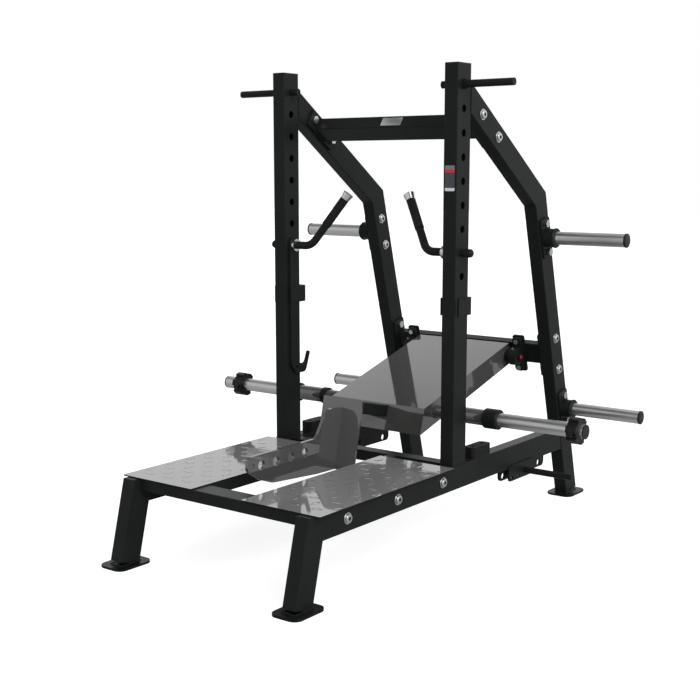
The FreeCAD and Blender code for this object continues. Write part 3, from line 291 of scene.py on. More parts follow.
def side_frame_seams(side):
    """Weld lines round the tube joints of one side frame."""
    upright_low, upright_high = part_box(side + "_upright")
    brace_low, brace_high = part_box(side + "_diagonal_brace")
    post_low, post_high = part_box(side + "_rear_post")
    leg_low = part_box(side + "_front_leg")[0]
    rail_low, rail_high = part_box(side + "_base_rail")
    x = (upright_low.x + upright_high.x) / 2
    brace_half = TUBE_HALF_DEPTH / math.cos(BRACE_DROP)
    post_half = TUBE_HALF_DEPTH / math.cos(POST_LEAN)
    leg_half = TUBE_HALF_DEPTH / math.cos(LEG_LEAN)
    rail_back = rail_high.y - (rail_high.z - rail_low.z) * math.tan(POST_LEAN)
    level = [(Vector((x, middle(side + "_upright").y, upright_low.z)), Y_AXIS, TUBE_HALF_DEPTH),
             (Vector((x, brace_low.y, brace_high.z - brace_half)), Z_AXIS, brace_half),
             (Vector((x, post_high.y - post_half, post_low.z)), Y_AXIS, post_half),
             (Vector((x, leg_low.y + leg_half, leg_low.z)), Y_AXIS, leg_half)]
    level.append(between((rail_high.y, rail_low.z), (rail_back, rail_high.z), x))
    return [rounded_loop(centre, X_AXIS, TUBE_HALF_WIDTH, along, half) for centre, along, half in level]


def beam_seams():
    """Weld lines at both ends of each cross beam."""
    loops = []
    for node, thick, turn in (("top_cross_beam", TOP_BEAM_HALF, math.pi / 2 - BRACE_DROP),
                              ("rear_cross_beam", REAR_BEAM_HALF, POST_LEAN)):
        low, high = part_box(node)
        for x in (low.x, high.x):
            centre = Vector((x, *middle(node).yz))
            loops.append(rounded_loop(centre, tilted(1, 0, turn), thick, tilted(0, 1, turn), BEAM_HALF_DEPTH))
    for node in ("front_cross_beam", "mid_cross_beam"):
        low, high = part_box(node)
        half = (high - low) / 2
        for x in (low.x, high.x):
            centre = Vector((x, *middle(node).yz))
            loops.append(rounded_loop(centre, Y_AXIS, half.y, Z_AXIS, half.z))
    return loops


bead_tree = make_bead_tree()
frame_loops = side_frame_seams("left") + side_frame_seams("right") + beam_seams()
frame_welds = grow("frame_welds", bead_tree, seam_mesh("frame_seams", frame_loops), {"Finish": powder_coat})
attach(frame_welds, "root")


# ---------------------------------------------------------------- cross beams and floor plates
# Four cross beams tie the side frames together; the upper two have bolted end plates. The legs
# and posts stand on thick rounded floor plates. All are coated with the frame; the floor plates
# are scuffed.

FLOOR_PLATE_COLOR = (0.0060, 0.0075, 0.0070, 1)
FLOOR_PLATE_WORN = (0.0110, 0.0125, 0.0120, 1)
FLOOR_PLATE_GLOSS = 0.10
FLOOR_PLATE_CLOUD_SCALE = 30.0


def make_floor_plate_coat():
    material, tree, shader = new_material("scuffed_powder_coat")
    shader.inputs["Roughness"].default_value = COAT_ROUGHNESS
    shader.inputs["Specular IOR Level"].default_value = FLOOR_PLATE_GLOSS
    add_clouds(tree, shader, FLOOR_PLATE_CLOUD_SCALE, FLOOR_PLATE_COLOR, FLOOR_PLATE_WORN)
    add_grain(tree, shader, COAT_GRAIN_SCALE, COAT_GRAIN_DEPTH)
    return material


dress(powder_coat, "top_cross_beam", "rear_cross_beam", "front_cross_beam", "mid_cross_beam",
      "beam_end_plates", "platform_frame")
dress(make_floor_plate_coat(), "floor_feet")


# ---------------------------------------------------------------- upright end plugs
# Moulded polyethylene plugs close the tops of the uprights. Their surface is slightly rougher
# and warmer than the coat on the steel.

PLASTIC_COLOR = (0.0055, 0.0060, 0.0060, 1)
PLASTIC_WORN = (0.0085, 0.0090, 0.0090, 1)
PLASTIC_ROUGHNESS = 0.36
PLASTIC_GLOSS = 0.25
PLASTIC_CLOUD_SCALE = 40.0
PLASTIC_GRAIN_SCALE = 2600.0
PLASTIC_GRAIN_DEPTH = 0.00004


def make_black_plastic():
    material, tree, shader = new_material("black_moulded_plastic")
    shader.inputs["Roughness"].default_value = PLASTIC_ROUGHNESS
    shader.inputs["Specular IOR Level"].default_value = PLASTIC_GLOSS
    add_clouds(tree, shader, PLASTIC_CLOUD_SCALE, PLASTIC_COLOR, PLASTIC_WORN)
    add_grain(tree, shader, PLASTIC_GRAIN_SCALE, PLASTIC_GRAIN_DEPTH, 2.0)
    return material


black_plastic = make_black_plastic()
dress(black_plastic, "upright_caps")


# ---------------------------------------------------------------- frame bolts
# Button-head bolts with hexagon sockets hold the beams, horns and platform ribs. They are zinc
# plated, so they are pale and a little uneven. Each has a thin plain washer under its head.

ZINC_COLOR = (0.62, 0.63, 0.63, 1)
ZINC_DULL = (0.50, 0.51, 0.52, 1)
ZINC_ROUGHNESS = 0.28
WASHER_RADIUS = 0.0188
WASHER_BORE = 0.0147
WASHER_THICK = 0.0018
BOLT_HEAD_RADIUS = 0.0145
NUT_LENGTH = 0.013
SOCKET_RADIUS = 0.00695
SOCKET_DEPTH = 0.005
SHADE_CUP_WALL = 0.0003
# Colour of the painted shade: a dark cup inside each hexagon socket stands for the shadow in the recess.
SOCKET_SHADE_COLOR = (0.025, 0.025, 0.026, 1)
SOCKET_SIDES = 6
SOCKET_SHADE_ROUGHNESS = 0.6
WASHER_CHAMFER = 0.0004
ZINC_CLOUD_SCALE = 160.0
ZINC_GRAIN_SCALE = 1800.0
ZINC_GRAIN_DEPTH = 0.00002
PLAIN_GRAIN_SCALE = 2200.0
PLAIN_GRAIN_DEPTH = 0.00002
SAME_POINT = 0.00001


def make_zinc():
    material, tree, shader = new_material("zinc_plate")
    shader.inputs["Metallic"].default_value = 1.0
    shader.inputs["Roughness"].default_value = ZINC_ROUGHNESS
    add_clouds(tree, shader, ZINC_CLOUD_SCALE, ZINC_COLOR, ZINC_DULL)
    add_grain(tree, shader, ZINC_GRAIN_SCALE, ZINC_GRAIN_DEPTH, 2.0)
    return material


zinc = make_zinc()
dress(zinc, "frame_bolts", "bracket_hardware")


def lathe(profile, steps=48):
    """Closed shape turned about X from (x, radius) points; the ends close where the radius is 0."""
    shape = bmesh.new()
    rings = []
    for along, radius in profile:
        if radius == 0:
            rings.append([shape.verts.new((along, 0, 0))])
            continue
        turns = [2 * math.pi * step / steps for step in range(steps)]
        rings.append([shape.verts.new((along, radius * math.cos(t), radius * math.sin(t))) for t in turns])
    closes = len(rings[0]) > 1
    for first, second in zip(rings, rings[1:] + (rings[:1] if closes else [])):
        for step in range(steps):
            after = (step + 1) % steps
            corners = [first[step % len(first)], first[after % len(first)],
                       second[after % len(second)], second[step % len(second)]]
            kept = list(dict.fromkeys(corners))
            if len(kept) > 2:
                shape.faces.new(kept)
    bmesh.ops.recalc_face_normals(shape, faces=shape.faces)
    return shape


def washer_profile(face, outwards, thick=WASHER_THICK, outer=WASHER_RADIUS, inner=WASHER_BORE):
    """Profile of a flat ring that lies on a face square to X."""
    top = face + outwards * thick
    return [(face, inner), (face, outer), (top - outwards * WASHER_CHAMFER, outer),
            (top, outer - WASHER_CHAMFER), (top, inner)]


def merged(shapes):
    """One bmesh out of several."""
    mesh = bpy.data.meshes.new("parts")
    whole = bmesh.new()
    for shape in shapes:
        shape.to_mesh(mesh)
        whole.from_mesh(mesh)
        shape.free()
    bpy.data.meshes.remove(mesh)
    return whole


def placed(shape, offset, turn=None):
    """Turn a shape about the origin, then move it."""
    if turn is not None:
        bmesh.ops.transform(shape, matrix=turn.to_4x4(), verts=shape.verts)
    bmesh.ops.translate(shape, vec=Vector(offset), verts=shape.verts)
    return shape


def settle(name, shape, material, body, sharp=35):
    """Turn a bmesh into a piece of the object that rides on a body."""
    mesh = bpy.data.meshes.new(name)
    shape.to_mesh(mesh)
    shape.free()
    mesh.materials.append(material)
    for polygon in mesh.polygons:
        polygon.use_smooth = True
    mesh.set_sharp_from_angle(angle=math.radians(sharp))
    piece = bpy.data.objects.new(name, mesh)
    bpy.context.scene.collection.objects.link(piece)
    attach(piece, body)
    return piece


def make_plain(name, color, roughness, metallic=0.0):
    """Small plain piece: one colour with a faint grain."""
    material, tree, shader = new_material(name)
    shader.inputs["Base Color"].default_value = color
    shader.inputs["Roughness"].default_value = roughness
    shader.inputs["Metallic"].default_value = metallic
    add_grain(tree, shader, PLAIN_GRAIN_SCALE, PLAIN_GRAIN_DEPTH, 2.0)
    return material


def solids_of(node):
    """Corner points of each separate solid in a CAD piece."""
    shape = bmesh.new()
    shape.from_mesh(cad_nodes[node].data)
    bmesh.ops.transform(shape, matrix=cad_nodes[node].matrix_world, verts=shape.verts)
    bmesh.ops.remove_doubles(shape, verts=shape.verts, dist=SAME_POINT)
    for vert in shape.verts:
        vert.tag = False
    solids = []
    for start in shape.verts:
        if start.tag:
            continue
        start.tag = True
        edge_of_search = [start]
        points = []
        while edge_of_search:
            vert = edge_of_search.pop()
            points.append(vert.co.copy())
            for edge in vert.link_edges:
                other = edge.other_vert(vert)
                if not other.tag:
                    other.tag = True
                    edge_of_search.append(other)
        solids.append(points)
    shape.free()
    return solids


# Each socket gets a thin dark cup of painted shade where the recess would be in shadow; it is not a real
# lining.
washers = []
socket_shade_cups = []
for points in solids_of("frame_bolts"):
    low = Vector(min(p[i] for p in points) for i in range(3))
    high = Vector(max(p[i] for p in points) for i in range(3))
    if high.x - low.x < NUT_LENGTH:
        continue
    axis = (low + high) / 2
    head = [p.x for p in points if (p.yz - axis.yz).length > BOLT_HEAD_RADIUS]
    outwards = 1 if high.x - max(head) < min(head) - low.x else -1
    face, top = (min(head), high.x) if outwards > 0 else (max(head), low.x)
    washers.append(placed(lathe(washer_profile(face, outwards)), (0, *axis.yz)))
    floor = top - outwards * SOCKET_DEPTH
    rim = top - outwards * SOCKET_DEPTH / 4
    socket_shade_cups.append(placed(lathe([(floor, 0), (floor, SOCKET_RADIUS), (rim, SOCKET_RADIUS),
                                 (rim, SOCKET_RADIUS - SHADE_CUP_WALL),
                                 (floor + outwards * SHADE_CUP_WALL, SOCKET_RADIUS - SHADE_CUP_WALL),
                                 (floor + outwards * SHADE_CUP_WALL, 0)], SOCKET_SIDES), (0, *axis.yz)))
settle("frame_washers", merged(washers), zinc, "root")
settle("bolt_socket_shade", merged(socket_shade_cups), make_plain("painted_socket_shade", SOCKET_SHADE_COLOR, SOCKET_SHADE_ROUGHNESS), "root")


# ---------------------------------------------------------------- foot platforms
# Two thick tread plates of polished steel under a clear smoked lacquer. Raised lens-shaped studs
# stand on them in rows, turned crosswise to each other, so that shoes grip.

TREAD_COLOR = (0.205, 0.202, 0.200, 1)
CUT_EDGE_COLOR = (0.018, 0.018, 0.018, 1)
TREAD_IOR = 2.2
MIRROR_SMOOTH = 0.03
MIRROR_SMUDGED = 0.07
SMUDGE_SCALE = 7.0
SMUDGE_FROM = 0.35
SMUDGE_TO = 0.7
STUD_PITCH_X = 0.088
STUD_PITCH_Y = 0.096
STUD_COLUMNS = 4
STUD_ROWS = 7
STUD_LENGTH = 0.040
STUD_WIDTH = 0.020
STUD_HEIGHT = 0.0009
STUD_FIRST_X = 0.035       # from the platform's inner edge
STUD_BACK_Y = 0.058        # from the platform's rear edge
STUD_AROUND = 16
STUD_RINGS = 6


def add_smudges(tree, shader, low, high, scale=SMUDGE_SCALE):
    """Faint uneven polish: the roughness drifts between two low values."""
    noise = noise_on_object(tree, scale, 4.0)
    spread = tree.nodes.new("ShaderNodeMapRange")
    spread.inputs["From Min"].default_value = SMUDGE_FROM
    spread.inputs["From Max"].default_value = SMUDGE_TO
    spread.inputs["To Min"].default_value = low
    spread.inputs["To Max"].default_value = high
    tree.links.new(noise.outputs["Fac"], spread.inputs["Value"])
    tree.links.new(spread.outputs["Result"], shader.inputs["Roughness"])


def make_lacquered_plate(name, color, ior):
    """Polished plate under a smoked clear lacquer: dark grey, with sharp reflections at low angles."""
    material, tree, shader = new_material(name)
    shader.inputs["Base Color"].default_value = color
    shader.inputs["IOR"].default_value = ior
    add_smudges(tree, shader, MIRROR_SMOOTH, MIRROR_SMUDGED)
    return material


def darken_cut_edges(material):
    """Leave the upright faces of a level plate dark and dull, as the saw and the lacquer left them."""
    tree = material.node_tree
    shader = tree.nodes["Principled BSDF"]
    place = tree.nodes.new("ShaderNodeTexCoord")
    split = tree.nodes.new("ShaderNodeSeparateXYZ")
    level = tree.nodes.new("ShaderNodeMath")
    level.operation = "GREATER_THAN"
    level.inputs[1].default_value = 0.5
    color = tree.nodes.new("ShaderNodeMix")
    color.data_type = "RGBA"
    color.inputs["A"].default_value = CUT_EDGE_COLOR
    color.inputs["B"].default_value = shader.inputs["Base Color"].default_value[:]
    gloss = tree.nodes.new("ShaderNodeMath")
    gloss.operation = "MULTIPLY"
    gloss.inputs[1].default_value = 0.5
    tree.links.new(place.outputs["Normal"], split.inputs["Vector"])
    tree.links.new(split.outputs["Z"], level.inputs[0])
    tree.links.new(level.outputs[0], color.inputs["Factor"])
    tree.links.new(level.outputs[0], gloss.inputs[0])
    tree.links.new(color.outputs["Result"], shader.inputs["Base Color"])
    tree.links.new(gloss.outputs[0], shader.inputs["Specular IOR Level"])
    return material


def make_stud_tree():
    """Two interleaved grids of studs, the second one turned a quarter."""
    tree = bpy.data.node_groups.new("tread_studs", "GeometryNodeTree")
    add_input(tree, "Plate", "NodeSocketGeometry")
    add_input(tree, "Pitch across", "NodeSocketFloat", STUD_PITCH_X)
    add_input(tree, "Pitch along", "NodeSocketFloat", STUD_PITCH_Y)
    add_input(tree, "Stud size", "NodeSocketVector", (STUD_WIDTH, STUD_LENGTH, STUD_HEIGHT))
    add_input(tree, "Centre", "NodeSocketVector", (0, 0, 0))
    add_input(tree, "Second centre", "NodeSocketVector", (0, 0, 0))
    add_input(tree, "Finish", "NodeSocketMaterial")
    tree.interface.new_socket(name="Studs", in_out="OUTPUT", socket_type="NodeSocketGeometry")
    new = tree.nodes.new
    link = tree.links.new
    given = new("NodeGroupInput")
    made = new("NodeGroupOutput")
    join = new("GeometryNodeJoinGeometry")
    lens = new("GeometryNodeMeshUVSphere")
    lens.inputs["Segments"].default_value = STUD_AROUND
    lens.inputs["Rings"].default_value = STUD_RINGS
    lens.inputs["Radius"].default_value = 0.5
    shaped = new("GeometryNodeTransform")
    link(lens.outputs["Mesh"], shaped.inputs["Geometry"])
    link(given.outputs["Stud size"], shaped.inputs["Scale"])
    for centre, columns, rows, turn in (("Centre", STUD_COLUMNS, STUD_ROWS, 0.0),
                                        ("Second centre", STUD_COLUMNS - 1, STUD_ROWS, math.pi / 2)):
        grid = new("GeometryNodeMeshGrid")
        grid.inputs["Vertices X"].default_value = columns
        grid.inputs["Vertices Y"].default_value = rows
        for pitch, count, size in (("Pitch across", columns, "Size X"), ("Pitch along", rows, "Size Y")):
            extent = new("ShaderNodeMath")
            extent.operation = "MULTIPLY"
            extent.inputs[1].default_value = count - 1
            link(given.outputs[pitch], extent.inputs[0])
            link(extent.outputs[0], grid.inputs[size])
        shifted = new("GeometryNodeTransform")
        studs = new("GeometryNodeInstanceOnPoints")
        studs.inputs["Rotation"].default_value = (0, 0, turn)
        link(grid.outputs["Mesh"], shifted.inputs["Geometry"])
        link(given.outputs[centre], shifted.inputs["Translation"])
        link(shifted.outputs["Geometry"], studs.inputs["Points"])
        link(shaped.outputs["Geometry"], studs.inputs["Instance"])
        link(studs.outputs["Instances"], join.inputs["Geometry"])
    real = new("GeometryNodeRealizeInstances")
    smooth = new("GeometryNodeSetShadeSmooth")
    finish = new("GeometryNodeSetMaterial")
    link(join.outputs["Geometry"], real.inputs["Geometry"])
    link(real.outputs["Geometry"], smooth.inputs[0])
    link(smooth.outputs[0], finish.inputs["Geometry"])
    link(given.outputs["Finish"], finish.inputs["Material"])
    link(finish.outputs["Geometry"], made.inputs["Studs"])
    return tree


tread_steel = darken_cut_edges(make_lacquered_plate("polished_tread_steel", TREAD_COLOR, TREAD_IOR))
dress(tread_steel, *both_sides("foot_platform"))
stud_tree = make_stud_tree()
for side, sign in (("left", -1), ("right", 1)):
    plate_low, plate_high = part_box(side + "_foot_platform")
    inner = min(abs(plate_low.x), abs(plate_high.x))
    half_x = STUD_PITCH_X * (STUD_COLUMNS - 1) / 2
    half_y = STUD_PITCH_Y * (STUD_ROWS - 1) / 2
    centre = Vector((sign * (inner + STUD_FIRST_X + half_x), plate_high.y - STUD_BACK_Y - half_y,
                     plate_high.z))
    second = centre - Vector((0, STUD_PITCH_Y / 2, 0))
    studs = grow(side + "_tread_studs", stud_tree, bpy.data.meshes.new("no_plate"),
                 {"Centre": centre, "Second centre": second, "Finish": tread_steel})
    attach(studs, "root")


# ---------------------------------------------------------------- band pegs and hanger plates
# Solid steel pegs for resistance bands at the tops of the uprights and under the rails, with the
# drilled hanger plates that hold the lower ones. All are coated with the frame.

dress(powder_coat, "band_pegs", "lower_band_pegs", "hanger_brackets")


# ---------------------------------------------------------------- weight storage horns
# Four chromed tubes with bolted brackets on the rear posts. Each black collar ends in a flared
# ring that keeps the plates off the frame, and a domed plastic cap closes the horn's end.

CHROME_COLOR = (0.62, 0.625, 0.63, 1)
CHROME_SMOOTH = 0.28
CHROME_BRUSHED = 0.36
CHROME_SMUDGE_SCALE = 14.0
FLARE_RADIUS = 0.0375
FLARE_WIDTH = 0.009
FLARE_ROUND = 0.0025
FLARE_BORE = 0.0252
FLARE_PROUD = 0.0004
COLLAR_RADIUS = 0.035
COLLAR_SUNK = 0.002
HORN_CAP_RADIUS = 0.0262
HORN_CAP_LIP = 0.0065
HORN_CAP_DOME = 0.0012
HORN_CAP_ROOT = 0.0008
HORN_CAP_SHOULDER = 0.001
HORN_CAP_ROUND = 0.002
HORN_CAP_EDGE = 0.0004
HORN_CAP_FLAT = 0.62


def make_chrome():
    material, tree, shader = new_material("satin_chrome")
    shader.inputs["Base Color"].default_value = CHROME_COLOR
    shader.inputs["Metallic"].default_value = 1.0
    add_smudges(tree, shader, CHROME_SMOOTH, CHROME_BRUSHED, CHROME_SMUDGE_SCALE)
    return material


def flare_profile(end, outwards):
    """Rounded ring at the outer end of a collar."""
    low = end - outwards * FLARE_WIDTH
    return [(low, COLLAR_RADIUS - COLLAR_SUNK), (low, COLLAR_RADIUS),
            (low + outwards * FLARE_ROUND, FLARE_RADIUS), (end - outwards * FLARE_ROUND, FLARE_RADIUS),
            (end + outwards * FLARE_PROUD, FLARE_RADIUS - FLARE_ROUND),
            (end + outwards * FLARE_PROUD, FLARE_BORE)]


def cap_profile(end, outwards):
    """Domed cap that grips round a horn's end."""
    root = end - outwards * (HORN_CAP_LIP + HORN_CAP_DOME)
    shoulder = end - outwards * HORN_CAP_DOME
    return [(root, 0), (root, HORN_CAP_RADIUS - HORN_CAP_ROOT),
            (root + outwards * HORN_CAP_ROOT, HORN_CAP_RADIUS),
            (shoulder - outwards * HORN_CAP_SHOULDER, HORN_CAP_RADIUS),
            (shoulder, HORN_CAP_RADIUS - HORN_CAP_ROUND),
            (end - outwards * HORN_CAP_EDGE, HORN_CAP_RADIUS * HORN_CAP_FLAT), (end, 0)]


chrome = make_chrome()
dress(chrome, *both_sides("upper_horn", "lower_horn"))
dress(powder_coat, "horn_collars")
dress(black_plastic, "horn_caps")
flares = []
horn_ends = []
for side, sign in (("left", -1), ("right", 1)):
    for level in ("upper", "lower"):
        horn_low, horn_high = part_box(side + "_" + level + "_horn")
        axis_yz = (0, *middle(side + "_" + level + "_horn").yz)
        root_x = horn_low.x if sign > 0 else horn_high.x
        flares.append(placed(lathe(flare_profile(root_x, sign)), axis_yz))
        cap_end = sign * max(abs(v.x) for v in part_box("horn_caps"))
        horn_ends.append(placed(lathe(cap_profile(cap_end, sign)), axis_yz))
settle("horn_flares", merged(flares), powder_coat, "root")
horn_end_caps = settle("horn_end_caps", merged(horn_ends), black_plastic, "root")
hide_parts("horn_caps")


# ---------------------------------------------------------------- rubber stop blocks
# Two rubber blocks on the rails catch the loading axle at the bottom of its travel. The rubber is
# matt, with a dull bloom, and its screws are sunk.

RUBBER_COLOR = (0.0070, 0.0073, 0.0073, 1)
RUBBER_BLOOM = (0.0125, 0.0125, 0.0125, 1)
RUBBER_ROUGHNESS = 0.62
RUBBER_GLOSS = 0.18
RUBBER_CLOUD_SCALE = 60.0
RUBBER_GRAIN_SCALE = 1500.0
RUBBER_GRAIN_DEPTH = 0.00008


def make_rubber():
    material, tree, shader = new_material("black_rubber")
    shader.inputs["Roughness"].default_value = RUBBER_ROUGHNESS
    shader.inputs["Specular IOR Level"].default_value = RUBBER_GLOSS
    add_clouds(tree, shader, RUBBER_CLOUD_SCALE, RUBBER_COLOR, RUBBER_BLOOM)
    add_grain(tree, shader, RUBBER_GRAIN_SCALE, RUBBER_GRAIN_DEPTH, 4.0)
    return material


rubber = make_rubber()
dress(rubber, "stop_blocks")


# ---------------------------------------------------------------- lever pivot
# Cast pillow blocks with bearings on mounting plates, coated black. A grease nipple stands on
# each block, and a red dust cap marks each end of the pivot shaft.

CAST_ROUGHNESS = 0.45
CAST_CLOUD_SCALE = 25.0
CAST_GRAIN_SCALE = 420.0
CAST_GRAIN_DEPTH = 0.00025
BLOCK_HALF_WIDTH = 0.0155
BLOCK_RADIUS = 0.0335
NIPPLE_OUT = (-0.35, 0.94)
NIPPLE_RADIUS = 0.0035
NIPPLE_LENGTH = 0.011
NIPPLE_FLANGE = 0.004
NIPPLE_NECK = (0.0045, 0.0075)
NIPPLE_BALL = 0.009
NIPPLE_ROUGHNESS = 0.35
DUST_CAP_RADIUS = 0.0080
DUST_CAP_THICK = 0.0022
DUST_CAP_EDGE = 0.0008
DUST_CAP_ROUND = 0.0012
DUST_CAP_ROUGHNESS = 0.4
DUST_CAP_COLOR = (0.52, 0.02, 0.03, 1)
NIPPLE_COLOR = (0.30, 0.30, 0.30, 1)


def make_cast_coat():
    material, tree, shader = new_material("coated_cast_iron")
    shader.inputs["Roughness"].default_value = CAST_ROUGHNESS
    shader.inputs["Specular IOR Level"].default_value = COAT_GLOSS
    add_clouds(tree, shader, CAST_CLOUD_SCALE, COAT_COLOR, COAT_DUSTY)
    add_grain(tree, shader, CAST_GRAIN_SCALE, CAST_GRAIN_DEPTH, 5.0)
    return material


cast_coat = make_cast_coat()
dress(cast_coat, "pillow_blocks", "bearing_inserts", "lever_pivot_shaft")
dress(powder_coat, "pivot_plates")
insert_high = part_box("bearing_inserts")[1]
shaft_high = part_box("lever_pivot_shaft")[1]
pivot_yz = middle("lever_pivot_shaft").yz
nipple_out = tilted(*NIPPLE_OUT, POST_LEAN)
nipples = []
dust_caps = []
for sign in (-1, 1):
    block_middle = sign * (insert_high.x - BLOCK_HALF_WIDTH)
    nipple = lathe([(0, 0), (0, NIPPLE_RADIUS), (NIPPLE_FLANGE, NIPPLE_RADIUS),
                    (NIPPLE_NECK[0], NIPPLE_RADIUS * 0.6), (NIPPLE_NECK[1], NIPPLE_RADIUS * 0.6),
                    (NIPPLE_BALL, NIPPLE_RADIUS * 0.8),
                    (NIPPLE_LENGTH, NIPPLE_RADIUS * 0.5), (NIPPLE_LENGTH, 0)], 16)
    turn = Vector((1, 0, 0)).rotation_difference(nipple_out).to_matrix()
    foot = Vector((block_middle, *pivot_yz)) + nipple_out * BLOCK_RADIUS
    nipples.append(placed(nipple, foot, turn))
    end = sign * (shaft_high.x + DUST_CAP_THICK)
    cap = lathe([(end - sign * DUST_CAP_THICK, 0), (end - sign * DUST_CAP_THICK, DUST_CAP_RADIUS),
                 (end - sign * DUST_CAP_EDGE, DUST_CAP_RADIUS), (end, DUST_CAP_RADIUS - DUST_CAP_ROUND),
                 (end, 0)], 32)
    dust_caps.append(placed(cap, (0, *pivot_yz)))
settle("grease_nipples", merged(nipples),
       make_plain("nipple_steel", NIPPLE_COLOR, NIPPLE_ROUGHNESS, 1.0), "root")
settle("shaft_dust_caps", merged(dust_caps),
       make_plain("red_plastic", DUST_CAP_COLOR, DUST_CAP_ROUGHNESS), "lever")


# ---------------------------------------------------------------- loading lever
# The lever is a box of polished steel plates under a smoked lacquer: top panel, two arms and a
# leaning front plate. The drop plate, belt tongue and axle carriers have the same finish.

LEVER_COLOR = (0.078, 0.076, 0.075, 1)
LEVER_IOR = 2.05
ARM_WELD_RADIUS = 0.0256

lever_steel = make_lacquered_plate("polished_lever_steel", LEVER_COLOR, LEVER_IOR)
dress(lever_steel, "lever_top_panel", "lever_front_plate", "lever_left_arm", "lever_right_arm",
      "drop_plate", "belt_tongue", "axle_tube")
dress(powder_coat, "drop_neck")

ARM_FACE_X = max(abs(v.x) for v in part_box("lever_right_arm"))
axle_yz = middle("axle_tube").yz
arm_loops = [round_loop(Vector((sign * ARM_FACE_X, *axle_yz)), ARM_WELD_RADIUS) for sign in (-1, 1)]
lever_welds = grow("lever_welds", bead_tree, seam_mesh("lever_seams", arm_loops), {"Finish": lever_steel})
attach(lever_welds, "lever")


# ---------------------------------------------------------------- loading sleeves
# Chromed sleeves carry the working plates. Each has a stepped black collar against the axle
# carrier and a flush plastic cap in its end.

dress(chrome, *both_sides("lever_sleeve"))
dress(powder_coat, "sleeve_collars")
dress(black_plastic, "sleeve_caps")


# ---------------------------------------------------------------- clamp collars
# Lobed plastic collars lock the plates on the sleeves, each with a hinged latch. Two zinc screws
# in the hollows between the lobes hold the halves together.

SCREW_RADIUS = 0.0055
SCREW_HEAD = 0.0035
SCREW_SLOT = 0.0022
SCREW_SLOT_DEPTH = 0.002
SCREW_ROUND = 0.001
CLAMP_VALLEY = 0.0398
LEVER_TILT = math.radians(16.0)

dress(black_plastic, *both_sides("clamp_collar", "clamp_latch"))
sleeve_yz = middle("right_lever_sleeve").yz
for side in ("left", "right"):
    clamp_x = middle(side + "_clamp_collar").x
    screws = []
    for way in (1, -1):
        out = tilted(-way, 0, LEVER_TILT)
        screw = lathe([(0, 0), (0, SCREW_RADIUS), (SCREW_HEAD - SCREW_ROUND, SCREW_RADIUS),
                       (SCREW_HEAD, SCREW_RADIUS - SCREW_ROUND), (SCREW_HEAD, SCREW_SLOT),
                       (SCREW_HEAD - SCREW_SLOT_DEPTH, SCREW_SLOT), (SCREW_HEAD - SCREW_SLOT_DEPTH, 0)], 24)
        turn = Vector((1, 0, 0)).rotation_difference(out).to_matrix()
        screws.append(placed(screw, Vector((clamp_x, *sleeve_yz)) + out * CLAMP_VALLEY, turn))
    settle(side + "_clamp_screws", merged(screws), zinc, side + "_clamp")


# ---------------------------------------------------------------- hook levers
# A flat J-shaped hook hangs from each bent handle rod, both coated black. The handles have
# rubber grips, chromed end caps and chromed washers at the pivots.

POLISHED_CHROME = (0.72, 0.72, 0.73, 1)


def make_bright_chrome():
    material, tree, shader = new_material("bright_chrome")
    shader.inputs["Base Color"].default_value = POLISHED_CHROME
    shader.inputs["Metallic"].default_value = 1.0
    add_smudges(tree, shader, MIRROR_SMOOTH, MIRROR_SMUDGED)
    return material


bright_chrome = make_bright_chrome()
dress(powder_coat, *both_sides("hook_lever"))
dress(rubber, *both_sides("grip"))
dress(bright_chrome, *both_sides("handle_trim"))


# ---------------------------------------------------------------- hook keepers
# U-shaped keepers of bent strip hold the hooks against the uprights. A thin black strip in the rubber finish
# is painted shade:
# it stands for the shadowed gap between each keeper and the front outer corner of its upright.

STRIP_DEPTH = 0.012
STRIP_THICK = 0.0022

dress(powder_coat, "hook_keepers")


def rounded_block(low, high, corner, segments=3):
    """Box between two corners with all of its edges rounded."""
    shape = bmesh.new()
    bmesh.ops.create_cube(shape, size=1.0)
    size = high - low
    bmesh.ops.scale(shape, vec=size, verts=shape.verts)
    bmesh.ops.translate(shape, vec=(low + high) / 2, verts=shape.verts)
    bmesh.ops.bevel(shape, geom=shape.edges, offset=corner, segments=segments, affect="EDGES", profile=0.5)
    bmesh.ops.recalc_face_normals(shape, faces=shape.faces)
    return shape


STRIP_INSET = 0.0015
STRIP_CORNER = 0.0009

keeper_low, keeper_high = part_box("hook_keepers")
upright_low, upright_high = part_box("right_upright")
# Black strips of painted shade, laid in the gap at each keeper's front outer corner.
gap_shade_strips = []
for sign in (-1, 1):
    near = Vector((sign * upright_high.x, upright_low.y + STRIP_INSET, keeper_low.z))
    far = Vector((sign * (upright_high.x + STRIP_THICK), upright_low.y + STRIP_INSET + STRIP_DEPTH,
                  keeper_high.z))
    low_corner = Vector(map(min, near, far))
    high_corner = Vector(map(max, near, far))
    gap_shade_strips.append(rounded_block(low_corner, high_corner, STRIP_CORNER, 2))
settle("keeper_gap_painted_shade", merged(gap_shade_strips), rubber, "root")


# ---------------------------------------------------------------- upright decal and beam badge
# A plain film decal on the right upright, with colour bands and no print, and a small plain
# badge of brushed aluminium fixed flat on the top cross beam.

DECAL_BANDS = (("body_edge", 0.0, (0.80, 0.80, 0.80, 1)), ("body", 0.12, (0.050, 0.060, 0.068, 1)),
               ("stripe", 0.72, (0.62, 0.025, 0.035, 1)), ("head", 0.84, (0.20, 0.20, 0.20, 1)))
BADGE_LENGTH = 0.088
BADGE_HEIGHT = 0.034
BADGE_THICK = 0.0012
BADGE_X = 0.005
BADGE_SUNK = 0.0006
BADGE_CORNER = 0.0006
BADGE_ROUGHNESS = 0.35
DECAL_ROUGHNESS = 0.3
BADGE_COLOR = (0.55, 0.56, 0.57, 1)
BEAM_TURN = math.pi / 2 - BRACE_DROP


